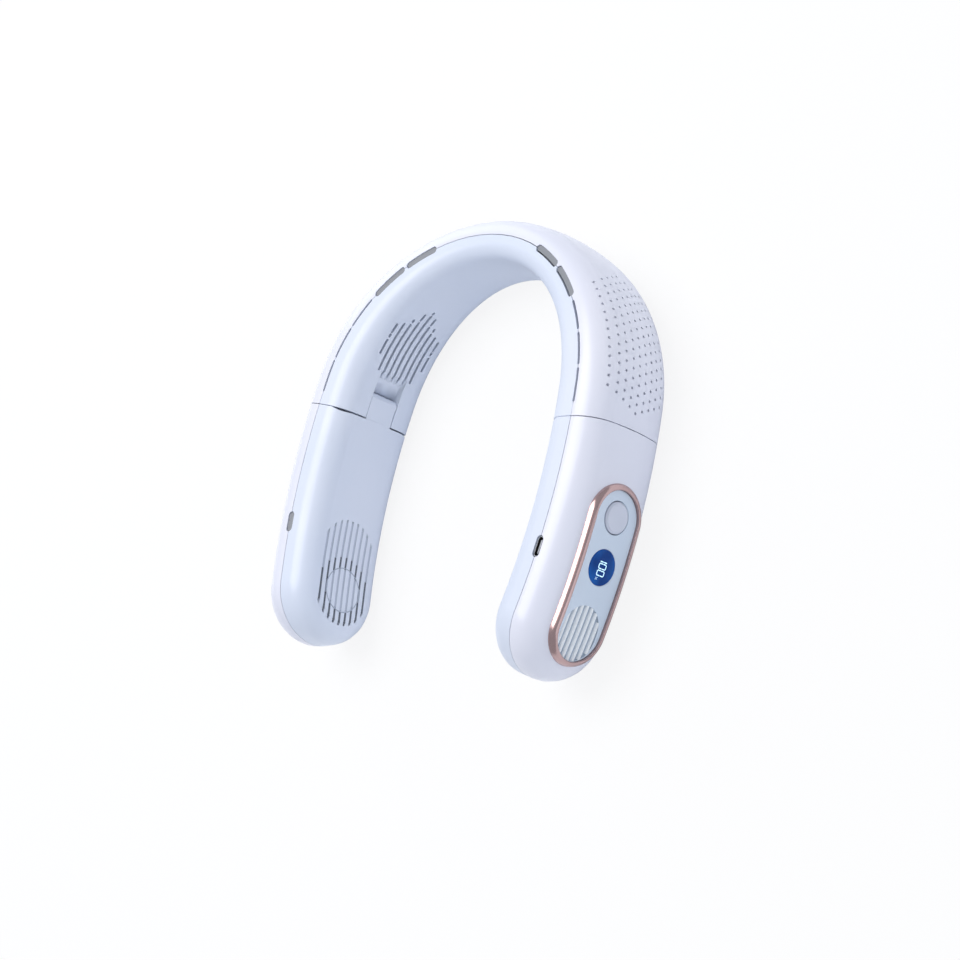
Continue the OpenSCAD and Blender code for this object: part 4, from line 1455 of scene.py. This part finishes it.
@dataclass
class Display:
    """The round glass of the display and its lit figures."""

    window_s: float = WINDOW_S
    glass_r: float = 7.7 * MM
    glass_t: float = 1.3 * MM
    glass_a: float = 15.6 * MM
    thickness: float = 0.03 * MM
    figure_h: float = 4.3 * MM
    figure_w: float = 2.1 * MM
    spacing: float = 2.95 * MM
    bar: float = 0.44 * MM
    gap: float = 0.1 * MM
    text: str = "100"
    text_shift: float = 0.5 * MM
    sign_gap: float = 0.45 * MM
    sign_drop_share: float = 0.36
    dot_r: float = 0.2 * MM
    dot_at: float = 0.42 * MM
    dot_steps: int = 12
    stroke: tuple[Point, ...] = ((0.36, 0.6), (0.52, 0.6), (-0.36, -0.6), (-0.52, -0.6))
    soft: float = 0.15 * MM

    def bar_outline(self, middle: Pair, half: float, flat: bool) -> list[Pair]:
        """Gives the six corners of one bar.

        Args:
            middle: Middle of the bar on the glass.
            half: Half of its length.
            flat: Whether it lies along the reading direction.

        Returns:
            Corners as (reading, height) pairs.
        """
        w = self.bar / 2
        shape = [(-half, 0), (-half + w, w), (half - w, w), (half, 0), (half - w, -w), (-half + w, -w)]
        if not flat:
            shape = [(y, x) for x, y in shape]
        return [(middle[0] + x, middle[1] + y) for x, y in shape]

    def outlines(self) -> list[list[Pair]]:
        """Gives the outline of every bar, and of the small sign after the figures.

        Returns:
            Outlines as (reading, height) pairs.
        """
        found = []
        start = -self.spacing * (len(self.text) - 1) / 2 - self.text_shift
        for i, figure in enumerate(self.text):
            for bar in FIGURE_BARS[figure]:
                x, y, flat = bar.value
                size = (self.figure_w if flat else self.figure_h / 2) / 2 - self.gap / 2
                found.append(self.bar_outline(
                    (start + i * self.spacing + x * self.figure_w, y * self.figure_h / 2),
                    size, flat,
                ))
        sign_x = start + len(self.text) * self.spacing - self.sign_gap
        sign_y = -self.figure_h * self.sign_drop_share
        for way in (-1, 1):
            x, y = sign_x + way * self.dot_at, sign_y - way * self.dot_at
            turns = (2 * math.pi * k / self.dot_steps for k in range(self.dot_steps))
            found.append([
                (x + self.dot_r * math.cos(t), y + self.dot_r * math.sin(t)) for t in turns
            ])
        found.append([(sign_x + x * MM, sign_y + y * MM) for x, y in self.stroke])
        return found

    def build(self, wardrobe: Wardrobe) -> list[bpy.types.Object]:
        """Turns the glass and raises every bar as a thin plate on it.

        Args:
            wardrobe: Where the finishes are.

        Returns:
            The glass and the figures.
        """
        soft = self.soft
        glass = Turned(self.window_s).build("display_lens", [
            (self.glass_r, self.glass_a - self.glass_t),
            (self.glass_r, self.glass_a - soft),
            (self.glass_r - 0.3 * soft, self.glass_a - 0.3 * soft),
            (self.glass_r - soft, self.glass_a),
        ])
        wardrobe.dress(glass, Look.DISPLAY_GLASS)
        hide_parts("display_window")
        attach(glass, "right_arm")
        axes = BAND.axes(self.window_s)
        work = Patchwork()
        for outline in self.outlines():
            levels = (self.glass_a, self.glass_a + self.thickness)
            work.loft([[tuple(axes @ Vector((x, a, -y))) for x, y in outline] for a in levels])
        figures = work.piece("display_figures", sharp_angle=30)
        wardrobe.dress(figures, Look.FIGURES)
        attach(figures, "right_arm")
        return [glass, figures]


# Repeated pieces, grown by geometry nodes


class Grower:
    """A geometry node tree that is being wired, with its named inputs."""

    def __init__(self, name: str, takes: dict[str, object]) -> None:
        """Starts a tree.

        Args:
            name: Name of the tree.
            takes: First value of each input, by name.
        """
        self.tree = bpy.data.node_groups.new(name, "GeometryNodeTree")
        for way in ("INPUT", "OUTPUT"):
            self.tree.interface.new_socket("Geometry", in_out=way, socket_type="NodeSocketGeometry")
        self.ids = {label: add_input(self.tree, label, value) for label, value in takes.items()}
        self.wire = Shader(self.tree)
        self.taken = self.wire.node("NodeGroupInput").outputs
        self.given = self.wire.node("NodeGroupOutput")

    def row(self, axis: str) -> bpy.types.NodeSocket:
        """Gives a centred row of Count points along an axis, a Pitch apart.

        Args:
            axis: X, Y or Z.

        Returns:
            The row of points.
        """
        wire, count, pitch = self.wire, self.taken["Count"], self.taken["Pitch"]
        across = wire.sum_of("MULTIPLY", wire.sum_of("SUBTRACT", count, 1.0), pitch)
        start = wire.vector(**{axis: wire.sum_of("MULTIPLY", across, -0.5)})
        line = {"Count": count, "Start Location": start, "Offset": wire.vector(**{axis: pitch})}
        return wire.first("GeometryNodeMeshLine", line, mode="OFFSET")

    def end(self, geometry: bpy.types.NodeSocket) -> None:
        """Ends the tree in real geometry that wears the Material input.

        Args:
            geometry: The socket that the instances come from.
        """
        real = self.wire.first("GeometryNodeRealizeInstances", {"Geometry": geometry})
        worn = {"Geometry": real, "Material": self.taken["Material"]}
        self.wire.fill(self.given, {"Geometry": self.wire.first("GeometryNodeSetMaterial", worn)})

    def grow(self, name: str, values: dict[str, object], place: Matrix) -> bpy.types.Object:
        """Runs the tree and keeps its result as a plain mesh.

        Args:
            name: Name of the piece.
            values: Values of the tree's inputs, by name.
            place: Where the grown piece goes, in the shared frame.

        Returns:
            The finished object, at the origin.
        """
        seed = placed(name + "_seed", bpy.data.meshes.new(name + "_seed"))
        modifier = seed.modifiers.new("grow", "NODES")
        modifier.node_group = self.tree
        for label, value in values.items():
            modifier[self.ids[label]] = value
        graph = bpy.context.evaluated_depsgraph_get()
        mesh = bpy.data.meshes.new_from_object(seed.evaluated_get(graph))
        bpy.data.objects.remove(seed)
        mesh.transform(place)
        mesh.name = name
        return placed(name, mesh)


@dataclass
class PanelRibs:
    """The round-backed ribs along the panel's lower end."""

    count: int = 7
    pitch: float = 3.1 * MM
    rib_r: float = 0.92 * MM
    field: Track = PanelFace.rib_field
    level_a: float = 14.62 * MM
    reach_past_field: float = 0.25 * MM

    def tree(self) -> Grower:
        """Builds a tree that bends round ribs along the arm's curve.

        Returns:
            The wired tree.
        """
        grower = Grower("Panel ribs", {
            "Count": 7, "Pitch": 0.003, "Rib Radius": 0.0007, "Field Radius": 0.01,
            "Stretch": 0.003, "Bend Radius": 0.33, "Material": None,
        })
        wire, taken = grower.wire, grower.taken

        points = wire.first("GeometryNodeMeshToPoints", {"Mesh": grower.row("Z")})
        place = wire.first("GeometryNodeInputPosition")
        up = wire.node("ShaderNodeSeparateXYZ", {0: place}).outputs["Z"]
        radius = taken["Field Radius"]
        chord = wire.sum_of("SQRT", wire.sum_of(
            "SUBTRACT", wire.sum_of("MULTIPLY", radius, radius), wire.sum_of("MULTIPLY", up, up)
        ))
        half = wire.sum_of("MULTIPLY_ADD", taken["Stretch"], 0.5, chord)
        line = wire.first(
            "GeometryNodeCurvePrimitiveLine", {"Start": (-1.0, 0, 0), "End": (1.0, 0, 0)}
        )
        fine = wire.first("GeometryNodeResampleCurve", {"Curve": line, "Count": 24})
        ribs = wire.first("GeometryNodeInstanceOnPoints", {
            "Points": points, "Instance": fine, "Scale": wire.vector(X=half, Y=1.0, Z=1.0),
        })
        real = wire.first("GeometryNodeRealizeInstances", {"Geometry": ribs})
        here = wire.first("GeometryNodeInputPosition")
        along = wire.node("ShaderNodeSeparateXYZ", {0: here}).outputs["X"]
        drop = wire.sum_of(
            "DIVIDE",
            wire.sum_of("MULTIPLY", along, along),
            wire.sum_of("MULTIPLY", taken["Bend Radius"], -2.0),
        )
        sunk = {"Geometry": real, "Offset": wire.vector(Y=drop)}
        bent = wire.first("GeometryNodeSetPosition", sunk)
        profile = wire.first(
            "GeometryNodeCurvePrimitiveCircle", {"Resolution": 20, "Radius": taken["Rib Radius"]}
        )
        tubes = {"Curve": bent, "Profile Curve": profile, "Fill Caps": True}
        grower.end(wire.first("GeometryNodeCurveToMesh", tubes))
        return grower

    def build(self, wardrobe: Wardrobe) -> bpy.types.Object:
        """Grows the ribs in the panel's sunk field.

        Args:
            wardrobe: Where the finishes are.

        Returns:
            The ribs.
        """
        place = BAND.axes(self.field.at_s) @ Matrix.Translation((0, self.level_a, 0))
        ribs = self.tree().grow("panel_ribs", {
            "Count": self.count,
            "Pitch": self.pitch,
            "Rib Radius": self.rib_r,
            "Field Radius": self.field.r + self.reach_past_field,
            "Stretch": self.field.stretch,
            "Bend Radius": BAND.arm_r + self.level_a,
            # The ribs wear the whiter rib finish, a painted highlight.
            "Material": wardrobe.material(Look.RIB),
        }, place)
        close_up(ribs, sharp_angle=40)
        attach(ribs, "right_arm")
        return ribs


@dataclass
class SocketContacts:
    """The rows of contacts on both sides of the charging socket's tongue."""

    count: int = 12
    pitch: float = 0.45 * MM
    size: Point = (0.24 * MM, 0.05 * MM, 3.2 * MM)
    port_past_seam: float = 56.5 * MM
    tongue_t: float = 0.7 * MM
    tongue_below_rim: float = 1.3 * MM
    inset: float = 0.3 * MM
    sunk: float = 0.01 * MM

    def tree(self) -> Grower:
        """Builds a tree that sets small bars in a row.

        Returns:
            The wired tree.
        """
        grower = Grower("Contact row", {
            "Count": 12, "Pitch": 0.0005, "Size": (0.0002, 0.00005, 0.003), "Material": None,
        })
        wire, taken = grower.wire, grower.taken
        bar = wire.first("GeometryNodeMeshCube", {"Size": taken["Size"]})
        bars = {"Points": grower.row("X"), "Instance": bar}
        grower.end(wire.first("GeometryNodeInstanceOnPoints", bars))
        return grower

    def build(self, wardrobe: Wardrobe) -> list[bpy.types.Object]:
        """Grows one row on each side of the tongue.

        Args:
            wardrobe: Where the finishes are.

        Returns:
            Both rows.
        """
        grower = self.tree()
        made = []
        low = BAND.height / 2 - self.tongue_below_rim - self.inset - self.size[2] / 2
        for side, label in ((-1, "inner"), (1, "outer")):
            offset = side * (self.tongue_t / 2 + self.size[1] / 2 - self.sunk)
            place = BAND.axes(BAND.seam_s + self.port_past_seam) @ Matrix.Translation((0, offset, low))
            row = grower.grow(f"socket_contacts_{label}", {
                "Count": self.count,
                "Pitch": self.pitch,
                "Size": self.size,
                "Material": wardrobe.material(Look.GOLD_CONTACT),
            }, place)
            close_up(row, sharp_angle=30)
            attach(row, "right_arm")
            made.append(row)
        return made


class InnerWorks:
    """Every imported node, which keeps its own mesh and wears the look named like its slot."""

    def dress(self, wardrobe: Wardrobe) -> int:
        """Dresses the nodes.

        Args:
            wardrobe: Where the finishes are.

        Returns:
            How many nodes were dressed.
        """
        for name, node in frame["nodes"].items():
            wardrobe.dress(node, Look[slot_of(name).upper()])
        return len(frame["nodes"])


# Stage


@dataclass(frozen=True)
class Lamp:
    """A square soft lamp, with its place, side, power and colour."""

    name: str
    at: Point
    size: float
    watts: float
    colour: Colour


LAMPS = (
    Lamp("key_lamp", at=(-0.35, 0.25, 1.5), size=1.1, watts=15.5, colour=(1.0, 0.975, 0.97)),
    Lamp("side_lamp", at=(1.6, -0.5, 0.6), size=1.2, watts=3.4, colour=(0.90, 0.95, 1.0)),
    Lamp("rim_lamp", at=(-1.2, 0.9, 0.5), size=0.9, watts=3.6, colour=(0.84, 0.94, 1.0)),
)


@dataclass
class Stage:
    """The floor, the lamps and the camera."""

    floor_size: float = 38.0
    floor_gap: float = 0.4 * MM
    floor_white: float = 0.86
    paper: Colour = (0.92, 0.93, 0.95)
    target: Point = (10.13 * MM, -17.03 * MM, 24.25 * MM)
    camera_at: Point = (798.19 * MM, -196.84 * MM, 782.82 * MM)
    roll: float = math.radians(-67.252)
    lens: float = 94.30
    sky: Colour = (0.80, 0.845, 0.93)
    sky_strength: float = 0.56

    def build(self) -> None:
        """Sets up everything that isn't part of the fan."""
        self.floor()
        self.world()
        for lamp in LAMPS:
            self.hang(lamp)
        self.camera()
        bpy.context.scene.view_settings.view_transform = "Standard"

    def floor(self) -> None:
        """Lays a pale floor that keeps a faint shadow."""
        half = self.floor_size / 2
        floor = new_piece(
            "stage_floor",
            [(-half, -half, 0), (half, -half, 0), (half, half, 0), (-half, half, 0)],
            [(0, 1, 2, 3)],
        )
        floor.location.z = -self.floor_gap
        material = bpy.data.materials.new("stage_paper")
        material.use_nodes = True
        tree = material.node_tree
        tree.nodes.clear()
        wire = Shader(tree)
        paper = wire.first("ShaderNodeBsdfDiffuse", {"Color": (*self.paper, 1)})
        white = wire.first("ShaderNodeEmission", {"Color": WHITE, "Strength": 1.0})
        rays = wire.node("ShaderNodeLightPath").outputs
        seen = wire.sum_of("MAXIMUM", rays["Is Camera Ray"], rays["Is Transmission Ray"])
        share = wire.sum_of("MULTIPLY", seen, self.floor_white)
        mixed = wire.first("ShaderNodeMixShader", {0: share, 1: paper, 2: white})
        wire.node("ShaderNodeOutputMaterial", {"Surface": mixed})
        floor.data.materials.append(material)

    def world(self) -> None:
        """Makes a soft blue-white sky that the camera sees as white."""
        world = bpy.data.worlds.new("soft_sky")
        bpy.context.scene.world = world
        world.use_nodes = True
        tree = world.node_tree
        tree.nodes.clear()
        wire = Shader(tree)
        light = {"Color": (*self.sky, 1), "Strength": self.sky_strength}
        sky = wire.first("ShaderNodeBackground", light)
        white = wire.first("ShaderNodeBackground", {"Color": WHITE, "Strength": 1.0})
        seen = wire.node("ShaderNodeLightPath").outputs["Is Camera Ray"]
        mixed = wire.first("ShaderNodeMixShader", {0: seen, 1: sky, 2: white})
        wire.node("ShaderNodeOutputWorld", {"Surface": mixed})

    def hang(self, lamp: Lamp) -> None:
        """Hangs a lamp so that it faces the fan.

        Args:
            lamp: The lamp.
        """
        light = bpy.data.lights.new(lamp.name, "AREA")
        light.shape, light.size = "SQUARE", lamp.size
        light.energy, light.color = lamp.watts, lamp.colour
        hung = placed(lamp.name, light)
        hung.location = lamp.at
        hung.rotation_mode = "QUATERNION"
        hung.rotation_quaternion = (Vector(self.target) - Vector(lamp.at)).to_track_quat("-Z", "Y")

    def camera(self) -> None:
        """Stands the camera where the photograph was taken from."""
        data = bpy.data.cameras.new("camera")
        data.sensor_width = 36
        data.lens = self.lens
        data.clip_start, data.clip_end = 0.01, 20
        camera = placed("camera", data)
        back = (Vector(self.camera_at) - Vector(self.target)).normalized()
        right = Vector((0, 0, 1)).cross(back).normalized()
        up = back.cross(right)
        cos, sin = math.cos(self.roll), math.sin(self.roll)
        turned_right, turned_up = cos * right + sin * up, cos * up - sin * right
        camera.matrix_world = Matrix((
            (turned_right.x, turned_up.x, back.x, self.camera_at[0]),
            (turned_right.y, turned_up.y, back.y, self.camera_at[1]),
            (turned_right.z, turned_up.z, back.z, self.camera_at[2]),
            (0, 0, 0, 1),
        ))
        bpy.context.scene.camera = camera


def main() -> None:
    """Builds every sub-assembly in order and reports each piece."""
    logging.basicConfig(level=logging.INFO, format="%(name)s: %(message)s")
    wardrobe = Wardrobe()
    LOG.info("dressed %d packed nodes", InnerWorks().dress(wardrobe))
    pieces = Shells().build(wardrobe)
    pieces += GrooveBeds(-1).build(wardrobe) + GrooveBeds(1).build(wardrobe)
    for part in (GuideStrip(-1), GuideStrip(1), TrimBead(), PanelFace(), PowerButton(), PanelRibs()):
        pieces.append(part.build(wardrobe))
    pieces += Display().build(wardrobe)
    pieces += SocketContacts().build(wardrobe)
    for piece in pieces:
        LOG.info("%s: %d faces", piece.name, len(piece.data.polygons))
    Stage().build()


if __name__ == "__main__":
    main()
